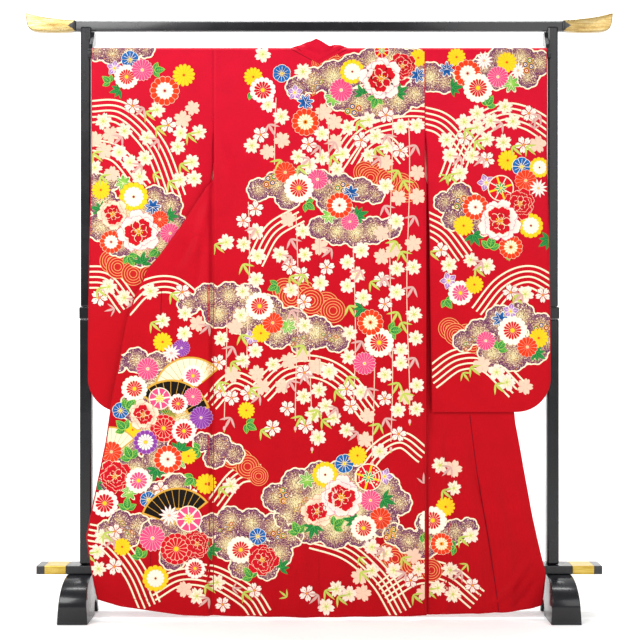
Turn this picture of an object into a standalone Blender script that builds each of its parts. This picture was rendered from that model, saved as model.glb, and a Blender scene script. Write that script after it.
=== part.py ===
"""A furisode hung from a rod on its two-post kimono rack, seen from the back at azimuth 0.

The garment's back faces -Y and its fronts hang behind it, towards +Y. Metres, +Z up.
The origin is on the floor, under the middle of the rack's feet.
"""

import math

import bmesh
import bpy
import numpy as np
from mathutils import Matrix

# Cloth
WALL = 0.0015
SEAM = 0.0003
HALF_SEAM = SEAM / 2
SHOULDER_Z = 1.646
BODY_HALF = 0.304
NECK_HALF = 0.082
NECK_DROP = 0.045
UNDERARM_Z = 1.262
SLEEVE_SEAM_END_Z = 1.416
CUFF_END_Z = 1.416
SLEEVE_BOTTOM_Z = 0.594
SLEEVE_CORNER_R = 0.098
FRONT_WIDTH = 0.240
FRONT_SHOULDER_WIDTH = 0.221
OKUMI_TIP_Z = 1.376
OKUMI_END_Z = 0.796
HEM_Z = 0.006
COLLAR_WIDTH = 0.055
COLLAR_WALL = 0.0026
COLLAR_PASS = 0.0017

# Rack
ROD_R = 0.011
ROD_HALF_LENGTH = 0.6675
POST_X = 0.6830
POST_Y = 0.058
POST_UPPER = (0.030, 0.034)
POST_LOWER = (0.035, 0.035)
POST_CLAMP = (0.037, 0.038)
CLAMP_Z = (0.863, 0.898)
FOOT_X = 0.6965
FOOT_HALF_DEPTH = 0.095
FOOT_HEIGHT = 0.120
FOOT_WIDTH_TOP = 0.072
FOOT_WIDTH_FLOOR = 0.087
RAIL_HEIGHT = 0.025
RAIL_HALF_DEPTH = 0.037
RAIL_HALF_LENGTH = 0.823
RAIL_CAP_LENGTH = 0.087
BAR_Z = (1.706, 1.738)
BAR_DEPTH = 0.022
BAR_HALF_LENGTH = 0.7125
BAR_SEAT = 0.012
FINIAL_DEPTH = 0.026
HOOK_X = (0.6577, 0.6677)
GAP = 0.0003

ROD_Z = SHOULDER_Z - WALL - SEAM - ROD_R
LAYER_R = ROD_R + SEAM + WALL / 2
PLEAT_LAYER = 0.0055
NEAR_Y = -LAYER_R
FAR_Y = LAYER_R

# The left front comes forward past the side seam, folds at "fold" and runs back behind itself.
# Distances are outwards from the side seam. "run_y" is the outer layer, "back_y" the layer folded in.
LEFT_FRONT = [
    {"z": 0.000, "pleat": 0.0, "fold": 0.332, "run_y": -0.033, "back_y": -0.021},
    {"z": 0.068, "pleat": 0.0, "fold": 0.342, "run_y": -0.032, "back_y": -0.020},
    {"z": 0.239, "pleat": 0.0, "fold": 0.365, "run_y": -0.030, "back_y": -0.018},
    {"z": 0.513, "pleat": 0.0, "fold": 0.309, "run_y": -0.028, "back_y": -0.016},
    {"z": 0.617, "pleat": 0.0, "fold": 0.294, "run_y": -0.028, "back_y": -0.016},
    {"z": 0.857, "pleat": 0.0, "fold": 0.249, "run_y": -0.028, "back_y": -0.016},
    {"z": 0.921, "pleat": 0.0, "fold": 0.229, "run_y": -0.028, "back_y": -0.0145},
    {"z": 1.004, "pleat": 0.0, "fold": 0.190, "run_y": -0.028, "back_y": -0.0125},
    {"z": 1.048, "pleat": 0.0, "fold": 0.153, "run_y": -0.028, "back_y": -0.0125},
    {"z": 1.135, "pleat": 0.0, "fold": 0.090, "run_y": -0.027, "back_y": -0.0125},
    {"z": 1.245, "pleat": 0.0, "fold": 0.018, "run_y": -0.023, "back_y": -0.0115},
    {"z": 1.258, "pleat": 0.0, "fold": 0.005, "run_y": -0.0122, "back_y": -0.0074},
]

# The right front tucks "pleat" deep behind the back, then comes out behind the sleeve.
RIGHT_FRONT = [
    {"z": 0.000, "pleat": 0.010, "fold": 0.338, "run_y": -0.014, "back_y": -0.002},
    {"z": 0.114, "pleat": 0.012, "fold": 0.349, "run_y": -0.012, "back_y": 0.000},
    {"z": 0.181, "pleat": 0.019, "fold": 0.352, "run_y": -0.010, "back_y": 0.002},
    {"z": 0.292, "pleat": 0.030, "fold": 0.345, "run_y": -0.006, "back_y": 0.006},
    {"z": 0.419, "pleat": 0.040, "fold": 0.322, "run_y": -0.001, "back_y": 0.011},
    {"z": 0.560, "pleat": 0.050, "fold": 0.292, "run_y": 0.007, "back_y": 0.019},
    {"z": 0.660, "pleat": 0.051, "fold": 0.266, "run_y": 0.012, "back_y": 0.024},
    {"z": 0.800, "pleat": 0.046, "fold": 0.230, "run_y": 0.014, "back_y": 0.026},
    {"z": 0.921, "pleat": 0.038, "fold": 0.190, "run_y": 0.014, "back_y": 0.026},
    {"z": 1.048, "pleat": 0.024, "fold": 0.130, "run_y": 0.014, "back_y": 0.026},
    {"z": 1.135, "pleat": 0.012, "fold": 0.075, "run_y": 0.014, "back_y": 0.026},
    {"z": 1.200, "pleat": -0.004, "fold": 0.040, "run_y": 0.012, "back_y": 0.023},
    {"z": 1.245, "pleat": -0.004, "fold": 0.014, "run_y": 0.007, "back_y": 0.015},
    {"z": 1.258, "pleat": -0.004, "fold": 0.005, "run_y": -0.001, "back_y": 0.005},
]

# How far the hem rises from its lowest point, by distance across the garment.
HEM_LIFT = [
    {"x": -0.690, "lift": 0.072},
    {"x": -0.657, "lift": 0.060},
    {"x": -0.570, "lift": 0.034},
    {"x": -0.390, "lift": 0.008},
    {"x": -0.040, "lift": 0.000},
    {"x": 0.256, "lift": 0.004},
    {"x": 0.530, "lift": 0.012},
    {"x": 0.612, "lift": 0.024},
    {"x": 0.650, "lift": 0.036},
]
HEM_LIFT_REACH = 0.25

# The sleeve's edges, by height.
SLEEVE_EDGE = [
    {"z": 0.560, "inner": 0.326, "outer": 0.668},
    {"z": 0.800, "inner": 0.323, "outer": 0.668},
    {"z": 1.100, "inner": 0.318, "outer": 0.664},
    {"z": 1.300, "inner": 0.311, "outer": 0.658},
    {"z": 1.416, "inner": 0.304, "outer": 0.656},
    {"z": 1.700, "inner": 0.304, "outer": 0.656},
]
SLEEVE_HALF_GAP = [
    {"z": 0.594, "gap": 0.0050},
    {"z": 1.000, "gap": 0.0065},
    {"z": 1.300, "gap": 0.0080},
    {"z": 1.416, "gap": LAYER_R},
    {"z": 1.700, "gap": LAYER_R},
]

# The collar from the top of the shoulder to the middle of the neck: where its seam lies, and its fold.
COLLAR_BACK = [
    {"turn": 88, "seam_x": 0.0818, "top": (0.0280, 0.0140, 1.6420)},
    {"turn": 60, "seam_x": 0.0822, "top": (0.0300, 0.0135, 1.6500)},
    {"turn": 30, "seam_x": 0.0825, "top": (0.0340, 0.0100, 1.6570)},
    {"turn": 0, "seam_x": 0.0800, "top": (0.0380, 0.0030, 1.6620)},
    {"turn": -30, "seam_x": 0.0675, "top": (0.0340, -0.0040, 1.6670)},
    {"turn": -60, "seam_x": 0.0560, "top": (0.0300, -0.0090, 1.6690)},
    {"turn": -90, "seam_x": 0.0460, "top": (0.0240, -0.0120, 1.6700)},
    {"turn": -90, "seam_x": 0.0240, "top": (0.0120, -0.0130, 1.6710)},
    {"turn": -90, "seam_x": 0.0000, "top": (0.0000, -0.0130, 1.6720)},
]
COLLAR_LIFT = 0.0014

COLOURS = {
    "cloth": ((0.70, 0.02, 0.04), 0.75, 0.0),
    "lacquer": ((0.02, 0.02, 0.02), 0.25, 0.0),
    "gilt": ((0.83, 0.61, 0.22), 0.35, 0.9),
}


def clear_scene():
    for old in list(bpy.data.objects):
        bpy.data.objects.remove(old, do_unlink=True)


def new_collection(name, hidden=False):
    made = bpy.data.collections.new(name)
    bpy.context.scene.collection.children.link(made)
    made.hide_render = hidden
    return made


def material_for(name, kind):
    colour, roughness, metallic = COLOURS[kind]
    made = bpy.data.materials.new(name)
    made.use_nodes = True
    shader = made.node_tree.nodes["Principled BSDF"]
    shader.inputs["Base Color"].default_value = (*colour, 1.0)
    shader.inputs["Roughness"].default_value = roughness
    shader.inputs["Metallic"].default_value = metallic
    return made


def add_part(name, mesh, kind):
    part = bpy.data.objects.new(name, mesh)
    mesh.materials.clear()
    mesh.materials.append(material_for(name, kind))
    PARTS.objects.link(part)
    return part


def add_bevel(part, width, segments=2):
    bevel = part.modifiers.new("Bevel", "BEVEL")
    bevel.width = width
    bevel.segments = segments
    bevel.limit_method = "ANGLE"
    return part


def column(rows, name, z, key="z"):
    """A row table's column read at z, linear between its rows."""
    return float(np.interp(z, [row[key] for row in rows], [row[name] for row in rows]))


# --- Cloth ---


def sheet(name, grid, wall):
    """A grid of points, a row for each section, as a cloth wall."""
    rows, columns = len(grid), len(grid[0])
    points = [point for row in grid for point in row]
    faces = []
    for i in range(rows - 1):
        for j in range(columns - 1):
            first = i * columns + j
            faces.append((first, first + 1, first + columns + 1, first + columns))
    mesh = bpy.data.meshes.new(name)
    mesh.from_pydata(points, [], faces)
    mesh.shade_smooth()
    part = add_part(name, mesh, "cloth")
    solidify = part.modifiers.new("Solidify", "SOLIDIFY")
    solidify.thickness = wall
    solidify.offset = 0.0
    solidify.use_even_offset = True
    solidify.use_quality_normals = True
    return part


def folded_sheet(name, grid, wall):
    """A grid of (point, normal) pairs, a row for each section, as one closed wall."""
    rows, columns = len(grid), len(grid[0])
    points = []
    for half in (wall / 2, -wall / 2):
        points += [tuple(np.add(point, np.multiply(normal, half))) for row in grid for point, normal in row]
    other = rows * columns
    faces = []
    for i in range(rows - 1):
        for j in range(columns - 1):
            first = i * columns + j
            a, b, c, d = first, first + 1, first + columns + 1, first + columns
            for face in ((a, b, c), (a, c, d)):
                faces += [face, tuple(other + corner for corner in face[::-1])]
    rim = list(range(columns)) + [i * columns + columns - 1 for i in range(1, rows)]
    rim += [other - 2 - j for j in range(columns - 1)] + [i * columns for i in range(rows - 2, 0, -1)]
    for a, b in zip(rim, rim[1:] + rim[:1]):
        faces.append((b, a, other + a, other + b))
    mesh = bpy.data.meshes.new(name)
    mesh.from_pydata(points, [], faces)
    bm = bmesh.new()
    bm.from_mesh(mesh)
    bmesh.ops.recalc_face_normals(bm, faces=bm.faces)
    bm.to_mesh(mesh)
    bm.free()
    mesh.shade_smooth()
    mesh.set_sharp_from_angle(angle=math.radians(60))
    return add_part(name, mesh, "cloth")


def over_rod(side, angle):
    """(y, z) on the cloth's middle as it turns over the rod: angle 0 is the top, pi/2 the side."""
    return side * LAYER_R * math.sin(angle), ROD_Z + LAYER_R * math.cos(angle)


def rod_rows(side, count=4):
    """The rows of a layer on the rod, from its edge at the top down to just above the rod's middle."""
    start = HALF_SEAM / LAYER_R
    turns = [start, 0.08] + [math.pi / 2 * i / count for i in range(1, count)]
    return [over_rod(side, turn) for turn in turns]


def hem_z(x, z):
    """Height of a point near the hem, which rises towards the garment's edges."""
    share = max(0.0, 1 - (z - HEM_Z) / HEM_LIFT_REACH) ** 2
    return z + column(HEM_LIFT, "lift", x, "x") * share


def back_y(x, z):
    """The back hangs straight, with its hem a little forward and a slack trough by its centre seam."""
    low = max(0.0, 1 - z / 0.9)
    return NEAR_Y - 0.012 * low**1.6 + 0.003 * low * math.cos(6 * math.pi * x / BODY_HALF)


def neck_start(x):
    """How far below the shoulder's top line a back panel starts, measured down its own middle."""
    return max(HALF_SEAM, NECK_DROP * (1 - abs(x) / NECK_HALF))


def down_the_back(x, down, lift=0.0):
    """A point this far down a back panel from the shoulder's top line, and lifted off it."""
    arc = LAYER_R * math.pi / 2
    if down < arc:
        y, z = over_rod(-1, down / LAYER_R)
        scale = 1 + lift / LAYER_R
        return x, y * scale, ROD_Z + (z - ROD_Z) * scale
    z = ROD_Z - (down - arc)
    return x, back_y(x, z) - lift, hem_z(x, z)


def back_panel(name, side):
    across = [HALF_SEAM, 0.024, 0.0475, 0.056, 0.0645, 0.073, NECK_HALF, 0.13, 0.19, 0.25]
    across += [BODY_HALF - HALF_SEAM]
    length = LAYER_R * math.pi / 2 + ROD_Z - HEM_Z
    grid = []
    for share in (0, 0.0006, 0.003, 0.006, 0.009, 0.012, 0.1, 0.3, 0.5, 0.7, 0.85, 1):
        row = []
        for x in across:
            start = neck_start(x)
            row.append(down_the_back(side * x, start + (length - start) * share))
        grid.append(row)
    return sheet(name, grid, WALL)


def front_edge(z):
    """Width of front and okumi together, from the side seam to the collar seam."""
    if z > OKUMI_TIP_Z:
        share = (z - OKUMI_TIP_Z) / (SHOULDER_Z - OKUMI_TIP_Z)
        return FRONT_WIDTH + (FRONT_SHOULDER_WIDTH - FRONT_WIDTH) * min(1.0, share)
    return float(np.interp(z, [0, OKUMI_END_Z, OKUMI_TIP_Z], [0.390, 0.375, FRONT_WIDTH]))


def front_route(side, z):
    """Corners (outwards, y) of a front's level section, from the side seam."""
    passing = FAR_Y + side * COLLAR_PASS * min(1.0, max(0.0, (1.42 - z) / 0.05))
    hang = [(-0.110, passing), (-0.500, passing)]
    if z > 1.26:
        reach = min(1.0, (z - UNDERARM_Z) / (SLEEVE_SEAM_END_Z - UNDERARM_Z))
        start = -0.0100 + (FAR_Y + 0.0100) * reach
        roll = float(np.interp(z, [1.266, 1.274], [0.003, 0.0]))
        turn = [(roll, start), (roll, start + 0.004)] if z < 1.28 else []
        return [(0.0, start), *turn, (-0.050, (start + FAR_Y) / 2), *hang]
    seam_y = back_y(side * BODY_HALF, z)
    rows = LEFT_FRONT if side < 0 else RIGHT_FRONT
    pleat, fold, run_y, folded_y = (column(rows, key, z) for key in ("pleat", "fold", "run_y", "back_y"))
    if side < 0:
        return [
            (0.0, seam_y),
            (min(0.004, 0.3 * fold), seam_y),
            (min(0.014, 0.6 * fold), run_y),
            (fold, run_y),
            (fold, folded_y),
            (min(0.014, 0.6 * fold), folded_y),
            (0.002, -0.005),
            (-0.060, 0.005),
            *hang,
        ]
    tuck = seam_y + PLEAT_LAYER
    out = float(np.interp(z, [0.45, 0.60], [0.040, 0.007]))
    return [
        (0.0, seam_y),
        (0.004, seam_y),
        (0.004, tuck),
        (-pleat, tuck),
        (-pleat, tuck + PLEAT_LAYER),
        (max(0.002, -pleat), tuck + PLEAT_LAYER),
        (min(out, fold), max(run_y, tuck + PLEAT_LAYER) if z > 0.5 else run_y),
        (fold, run_y),
        (fold, folded_y),
        (-0.040, max(folded_y - 0.004, 0.005)),
        *hang,
    ]


def rounded(route, radius=0.006, steps=5):
    """The route with its corners turned round, ends kept."""
    corners = [np.array(corner) for corner in route]
    points = [corners[0]]
    for before, corner, after in zip(corners, corners[1:], corners[2:]):
        ends = []
        for other in (before, after):
            length = np.linalg.norm(other - corner)
            ends.append(corner + (other - corner) * min(radius / max(length, 1e-9), 0.5))
        for t in np.linspace(0, 1, steps):
            points.append((1 - t) ** 2 * ends[0] + 2 * t * (1 - t) * corner + t * t * ends[1])
    return np.array([*points, corners[-1]])


def lengths_along(points):
    return np.r_[0, np.cumsum(np.linalg.norm(np.diff(points, axis=0), axis=1))]


def fold_places(side, z):
    """Distances along the rounded route of its sharp turns."""
    route = front_route(side, min(z, LEFT_FRONT[-1]["z"]))
    points = rounded(route)
    lengths = lengths_along(points)
    corners = [route[i] for i in ((2, 3, 4, 6) if side < 0 else (2, 3, 4, 6, 7, 8))]
    return [lengths[np.argmin(np.linalg.norm(points - np.array(corner), axis=1))] for corner in corners]


def places_between(low, high, count, folds):
    """Distances from low to high, closer together where the cloth folds."""
    fine = np.linspace(low, high, 240)
    weight = np.ones(240)
    for fold in folds:
        weight += 10 * np.exp(-(((fine - fold) / 0.005) ** 2))
    total = np.cumsum(weight)
    inner = np.interp(np.linspace(total[0], total[-1], count - 2), total, fine)
    ends = 0.0008
    inner = low + ends + (inner - low) * (high - low - 2 * ends) / (high - low)
    return np.r_[low, inner, high]


def front_section(side, z, low, high, count):
    """(point, normal) pairs of a front's level section between two distances from the side seam."""
    places = places_between(low, high, count, fold_places(side, z))
    points = rounded(front_route(side, z))
    lengths = lengths_along(points)
    section = []
    for place in places:
        ends = [[np.interp(place + step, lengths, points[:, k]) for k in (0, 1)] for step in (-4e-4, 0, 4e-4)]
        (_, (outward, y), _) = ends
        run = np.subtract(ends[2], ends[0])
        run /= np.linalg.norm(run)
        x = side * (BODY_HALF + outward)
        section.append(((x, y, hem_z(x, z)), (-side * run[1], run[0], 0.0)))
    return section


FRONT_TOP_LEVELS = [1.245, 1.258, 1.266, 1.274, 1.286, 1.33, OKUMI_TIP_Z, SLEEVE_SEAM_END_Z, 1.52]
FRONT_LEVELS = {
    -1: [HEM_Z, 0.10, 0.22, 0.36, 0.52, 0.70, 0.857, 0.921, 0.94, 0.96, 1.00, 1.04, 1.075, 1.105]
    + [1.135, 1.165, 1.195, 1.22, *FRONT_TOP_LEVELS],
    1: [HEM_Z, 0.10, 0.22, 0.36, 0.50, 0.56, 0.62, 0.70, 0.72, 0.74, 0.78, 0.83, 0.90]
    + [0.96, 0.9775, 0.985, 0.9925, 1.00, 1.01, 1.03, 1.06, 1.09, 1.12, 1.15, 1.18, 1.21, *FRONT_TOP_LEVELS],
}


def front_panel(name, side):
    count = 19 if side < 0 else 23
    grid = []
    for z in FRONT_LEVELS[side] + [ROD_Z]:
        width = min(FRONT_WIDTH, front_edge(z))
        grid.append(front_section(side, z, HALF_SEAM, width - HALF_SEAM, count))
    for y, z in reversed(rod_rows(1)):
        section = front_section(side, z, HALF_SEAM, front_edge(z) - HALF_SEAM, count)
        normal = (0.0, -y / LAYER_R, (ROD_Z - z) / LAYER_R)
        grid.append([((point[0], y, z), normal) for point, _ in section])
    return folded_sheet(name, grid, WALL)


def okumi_panel(name, side):
    levels = [z for z in FRONT_LEVELS[side] if z < OKUMI_TIP_Z - 0.04] + [OKUMI_TIP_Z - 0.012]
    grid = []
    for z in levels:
        grid.append(front_section(side, z, FRONT_WIDTH + HALF_SEAM, front_edge(z) - HALF_SEAM, 10))
    return folded_sheet(name, grid, WALL)


def collar_half(side):
    """The collar's sections from its lower end on one front up to the middle of the neck."""
    levels = [OKUMI_END_Z] + [z for z in FRONT_LEVELS[side] if z > OKUMI_END_Z] + [1.58, 1.62]
    sections = []
    for z in levels:
        start = front_edge(z) + HALF_SEAM
        sections.append(front_section(side, z, start, start + COLLAR_WIDTH, 6))
    lift = (COLLAR_WALL - WALL) / 2 + 0.0001
    for row in COLLAR_BACK:
        turn = math.radians(row["turn"])
        outward = np.array((0.0, math.sin(turn), math.cos(turn)))
        if row["turn"] > -90:
            seam = np.array((row["seam_x"], 0.0, ROD_Z)) + outward * (LAYER_R + lift)
        else:
            start = neck_start(row["seam_x"]) - COLLAR_LIFT
            seam = np.array(down_the_back(row["seam_x"], start, lift))
        line = np.array(row["top"]) - seam
        normal = -(outward - line * (outward @ line) / (line @ line))
        normal /= np.linalg.norm(normal)
        section = [(seam + line * share, normal) for share in (0, 0.05, 0.3, 0.7, 0.95, 1)]
        sections.append([(point * (side, 1, 1), normal * (side, 1, 1)) for point, normal in section])
    return sections


def collar():
    left, right = collar_half(-1), collar_half(1)
    return folded_sheet("collar", left + right[-2::-1], COLLAR_WALL)


def sleeve_outer(z):
    """The sleeve's outer edge, with the round corner at its bottom."""
    edge = column(SLEEVE_EDGE, "outer", z)
    rise = SLEEVE_CORNER_R - (z - SLEEVE_BOTTOM_Z)
    if rise <= 0:
        return edge
    return edge - SLEEVE_CORNER_R + math.sqrt(max(0.0, SLEEVE_CORNER_R**2 - rise**2))


def sleeve_gap(x, z):
    """Half the distance between the sleeve's two layers: they meet along the bottom and the closed edge."""
    closed = 1 - math.exp(-max(0.0, z - SLEEVE_BOTTOM_Z) / 0.035)
    if z < CUFF_END_Z:
        reach = min(1.0, (CUFF_END_Z - z) / 0.06)
        edge = 1 - math.exp(-max(0.0, sleeve_outer(z) - x) / 0.03)
        closed *= 1 - reach * (1 - edge)
        inner = max(0.0, x - column(SLEEVE_EDGE, "inner", z))
        closed *= 1 - 0.75 * reach * math.exp(-inner / 0.03)
    least = WALL / 2 + HALF_SEAM + 0.0001
    return least + (column(SLEEVE_HALF_GAP, "gap", z) - least) * closed


def sleeve_layer(name, side, layer):
    """One layer of a sleeve, whose cloth turns over the rod: layer -1 is the back, 1 the front."""
    corner = [0, 0.008, 0.03, 0.06, SLEEVE_CORNER_R]
    levels = [SLEEVE_BOTTOM_Z + rise for rise in corner]
    levels += [0.80, 0.95, 1.10, 1.25, 1.34, CUFF_END_Z, 1.52, ROD_Z]
    shares = (0, 0.35, 0.8, 0.95, 1)
    grid = []
    for z in levels:
        inner, outer = column(SLEEVE_EDGE, "inner", z) + HALF_SEAM, sleeve_outer(z)
        across = [inner + (outer - inner) * share for share in shares]
        grid.append([(side * x, layer * sleeve_gap(x, z), z) for x in across])
    for y, z in reversed(rod_rows(layer)):
        grid.append([(x, y, z) for x, _, _ in grid[-1]])
    return sheet(name, grid, WALL)


# --- Rack ---


def box(name, kind, low, high, bevel=0.0):
    bm = bmesh.new()
    bmesh.ops.create_cube(bm, size=1.0)
    size = [high[k] - low[k] for k in range(3)]
    middle = [(high[k] + low[k]) / 2 for k in range(3)]
    bmesh.ops.transform(bm, matrix=Matrix.Diagonal((*size, 1.0)), verts=bm.verts)
    mesh = bpy.data.meshes.new(name)
    bm.to_mesh(mesh)
    bm.free()
    part = add_part(name, mesh, kind)
    part.location = middle
    if bevel:
        add_bevel(part, bevel)
    return part


def rounded_bar(name, kind, radius, low_x, high_x, y, z):
    bm = bmesh.new()
    bmesh.ops.create_cone(
        bm, cap_ends=True, segments=24, radius1=radius, radius2=radius, depth=high_x - low_x
    )
    mesh = bpy.data.meshes.new(name)
    bm.to_mesh(mesh)
    bm.free()
    mesh.set_sharp_from_angle(angle=math.radians(40))
    part = add_part(name, mesh, kind)
    part.rotation_euler = (0, math.pi / 2, 0)
    part.location = ((low_x + high_x) / 2, y, z)
    return part


def flat_piece(name, kind, outline, thickness, turn, place, bevel=0.0):
    """A flat outline given a thickness, as a mesh with its caps joined to its sides."""
    curve = bpy.data.curves.new(name, "CURVE")
    curve.dimensions = "2D"
    curve.fill_mode = "BOTH"
    curve.extrude = thickness / 2
    spline = curve.splines.new("POLY")
    spline.points.add(len(outline) - 1)
    for point, (across, up) in zip(spline.points, outline):
        point.co = (across, up, 0, 1)
    spline.use_cyclic_u = True
    guide = bpy.data.objects.new(name + "_outline", curve)
    PARTS.objects.link(guide)
    bpy.context.view_layer.update()
    shape = bpy.data.meshes.new_from_object(guide.evaluated_get(bpy.context.evaluated_depsgraph_get()))
    bpy.data.objects.remove(guide, do_unlink=True)
    bm = bmesh.new()
    bm.from_mesh(shape)
    bmesh.ops.remove_doubles(bm, verts=bm.verts, dist=1e-6)
    bmesh.ops.recalc_face_normals(bm, faces=bm.faces)
    bm.to_mesh(shape)
    bm.free()
    shape.set_sharp_from_angle(angle=math.radians(30))
    part = add_part(name, shape, kind)
    part.rotation_euler = turn
    part.location = place
    if bevel:
        add_bevel(part, bevel)
    return part


def arc(centre, radius, first, last, steps):
    """Points on an ellipse, angles in degrees."""
    turns = [math.radians(first + (last - first) * i / steps) for i in range(steps + 1)]
    return [(centre[0] + radius[0] * math.cos(t), centre[1] + radius[1] * math.sin(t)) for t in turns]


def foot(name, side):
    """A foot with a rounded front, a level top under the rail and a low arch behind its front pad."""
    front, back = -FOOT_HALF_DEPTH, FOOT_HALF_DEPTH
    outline = arc((0.015, 0.045), (0.015 - front, FOOT_HEIGHT - 0.045), 180, 90, 8)
    outline += [(back, FOOT_HEIGHT), (back, 0.0), (back - 0.018, 0.0)]
    outline += [(back - 0.026, 0.030), (0.063, 0.040), (0.040, 0.028), (0.023, 0.0), (front, 0.0)]
    part = flat_piece(name, "lacquer", outline, FOOT_WIDTH_TOP, (math.pi / 2, 0, math.pi / 2), (0, 0, 0))
    part.location.x = side * FOOT_X
    for vertex in part.data.vertices:
        share = 1 - vertex.co.y / FOOT_HEIGHT
        vertex.co.z *= 1 + (FOOT_WIDTH_FLOOR / FOOT_WIDTH_TOP - 1) * share
    return part


def rod_hook(name, side):
    """A plate on the post's inner face, with an open cradle in front for the rod's end."""
    cradle = arc((0.0, ROD_Z), (ROD_R + GAP, ROD_R + GAP), 180, 360, 12)
    outline = [(0.072, 1.702), (0.046, 1.702), (0.040, 1.686), (0.020, 1.662), (0.0125, 1.646)]
    outline += cradle[::-1]
    outline += [(-0.0165, ROD_Z + 0.002), (-0.0170, ROD_Z - 0.006)]
    outline += arc((0.0, ROD_Z - 0.002), (0.0165, 0.0165), 200, 300, 6)
    outline += [(0.022, 1.626), (0.030, 1.644), (0.050, 1.660), (0.072, 1.668)]
    middle = side * (HOOK_X[0] + HOOK_X[1]) / 2
    thickness = HOOK_X[1] - HOOK_X[0]
    turn = (math.pi / 2, 0, math.pi / 2)
    return flat_piece(name, "lacquer", outline, thickness, turn, (middle, 0, 0))


def finial(name, side):
    """The bar's gilt end, which deepens and sweeps up to its tip."""
    low, high = BAR_Z
    start = BAR_HALF_LENGTH + GAP
    outline = [(start, high), (0.761, high + 0.0035), (0.805, high + 0.0085), (0.835, high + 0.015)]
    outline += [(0.860, high + 0.021), (0.8575, high - 0.004), (0.853, low + 0.014), (0.846, low + 0.005)]
    outline += [(0.828, low - 0.001), (0.805, low - 0.0025), (0.761, low - 0.0035), (start, low)]
    outline = [(side * x, z) for x, z in outline]
    turn = (math.pi / 2, 0, 0)
    return flat_piece(name, "gilt", outline, FINIAL_DEPTH, turn, (0, POST_Y, 0), 0.003)


def post(name, side, low_z, high_z, size, bevel=0.0045):
    x, half_x, half_y = side * POST_X, size[0] / 2, size[1] / 2
    low = (x - half_x, POST_Y - half_y, low_z)
    high = (x + half_x, POST_Y + half_y, high_z)
    return box(name, "lacquer", low, high, bevel)


def seat_for_bar(upper_post, side):
    """Cuts the saddle at the top of a post that the bar lies in."""
    x = side * POST_X
    reach = POST_UPPER[0]
    cutter = box(
        upper_post.name + "_saddle",
        "lacquer",
        (x - reach, POST_Y - BAR_DEPTH / 2 - GAP, BAR_Z[0] - GAP),
        (x + reach, POST_Y + BAR_DEPTH / 2 + GAP, BAR_Z[1] + reach),
    )
    PARTS.objects.unlink(cutter)
    CUTTERS.objects.link(cutter)
    cutter.hide_render = True
    cutter.display_type = "WIRE"
    cut = upper_post.modifiers.new("Saddle", "BOOLEAN")
    cut.operation = "DIFFERENCE"
    cut.object = cutter


def rack():
    rail_low, rail_high = FOOT_HEIGHT + GAP, FOOT_HEIGHT + GAP + RAIL_HEIGHT
    rail_y = (POST_Y - RAIL_HALF_DEPTH, POST_Y + RAIL_HALF_DEPTH)
    cap_start = RAIL_HALF_LENGTH - RAIL_CAP_LENGTH
    box("lower_rail", "lacquer", (-cap_start, rail_y[0], rail_low), (cap_start, rail_y[1], rail_high), 0.002)
    box(
        "top_bar",
        "lacquer",
        (-BAR_HALF_LENGTH, POST_Y - BAR_DEPTH / 2, BAR_Z[0]),
        (BAR_HALF_LENGTH, POST_Y + BAR_DEPTH / 2, BAR_Z[1]),
        0.004,
    )
    rounded_bar("rod", "lacquer", ROD_R, -ROD_HALF_LENGTH, ROD_HALF_LENGTH, 0, ROD_Z)
    for word, side in (("left", -1), ("right", 1)):
        ends = sorted((side * (cap_start + GAP), side * RAIL_HALF_LENGTH))
        box("rail_cap_" + word, "gilt", (ends[0], rail_y[0], rail_low), (ends[1], rail_y[1], rail_high), 0.002)
        foot("foot_" + word, side)
        post("post_lower_" + word, side, rail_high + GAP, CLAMP_Z[0] - GAP, POST_LOWER)
        post("post_clamp_" + word, side, *CLAMP_Z, POST_CLAMP, 0.003)
        upper = post("post_upper_" + word, side, CLAMP_Z[1] + GAP, BAR_Z[0] + BAR_SEAT, POST_UPPER)
        seat_for_bar(upper, side)
        knob_end = side * (POST_X - POST_CLAMP[0] / 2 - GAP)
        knob = sorted((knob_end, knob_end - side * 0.009))
        rounded_bar("clamp_knob_" + word, "lacquer", 0.009, *knob, POST_Y, sum(CLAMP_Z) / 2)
        finial("bar_finial_" + word, side)
        rod_hook("rod_hook_" + word, side)


def furisode():
    for word, side in (("left", -1), ("right", 1)):
        back_panel("back_" + word, side)
        front_panel("front_" + word, side)
        okumi_panel("okumi_" + word, side)
        sleeve_layer(f"sleeve_{word}_back", side, -1)
        sleeve_layer(f"sleeve_{word}_front", side, 1)
    collar()


clear_scene()
PARTS = new_collection("furisode_on_rack")
CUTTERS = new_collection("cutters", hidden=True)
rack()
furisode()
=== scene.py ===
from functools import partial
import math

import bmesh
import bpy
import numpy as np
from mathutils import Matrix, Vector


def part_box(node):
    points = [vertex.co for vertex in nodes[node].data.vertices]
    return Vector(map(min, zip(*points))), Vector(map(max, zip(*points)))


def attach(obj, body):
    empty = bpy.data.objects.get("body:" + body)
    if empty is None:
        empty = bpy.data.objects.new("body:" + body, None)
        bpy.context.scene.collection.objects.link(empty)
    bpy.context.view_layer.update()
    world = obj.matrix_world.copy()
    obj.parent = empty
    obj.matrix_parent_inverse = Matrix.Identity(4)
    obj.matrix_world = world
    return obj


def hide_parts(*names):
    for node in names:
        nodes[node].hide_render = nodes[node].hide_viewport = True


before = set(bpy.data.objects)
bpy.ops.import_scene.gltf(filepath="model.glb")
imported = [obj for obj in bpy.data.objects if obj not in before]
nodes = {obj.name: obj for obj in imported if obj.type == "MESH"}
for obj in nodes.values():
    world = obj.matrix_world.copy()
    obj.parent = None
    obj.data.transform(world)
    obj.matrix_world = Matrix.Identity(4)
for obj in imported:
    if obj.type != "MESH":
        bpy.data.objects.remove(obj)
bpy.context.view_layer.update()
bpy.context.scene.view_settings.view_transform = "Standard"
print("frame loaded")


# what every material and piece uses

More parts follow.
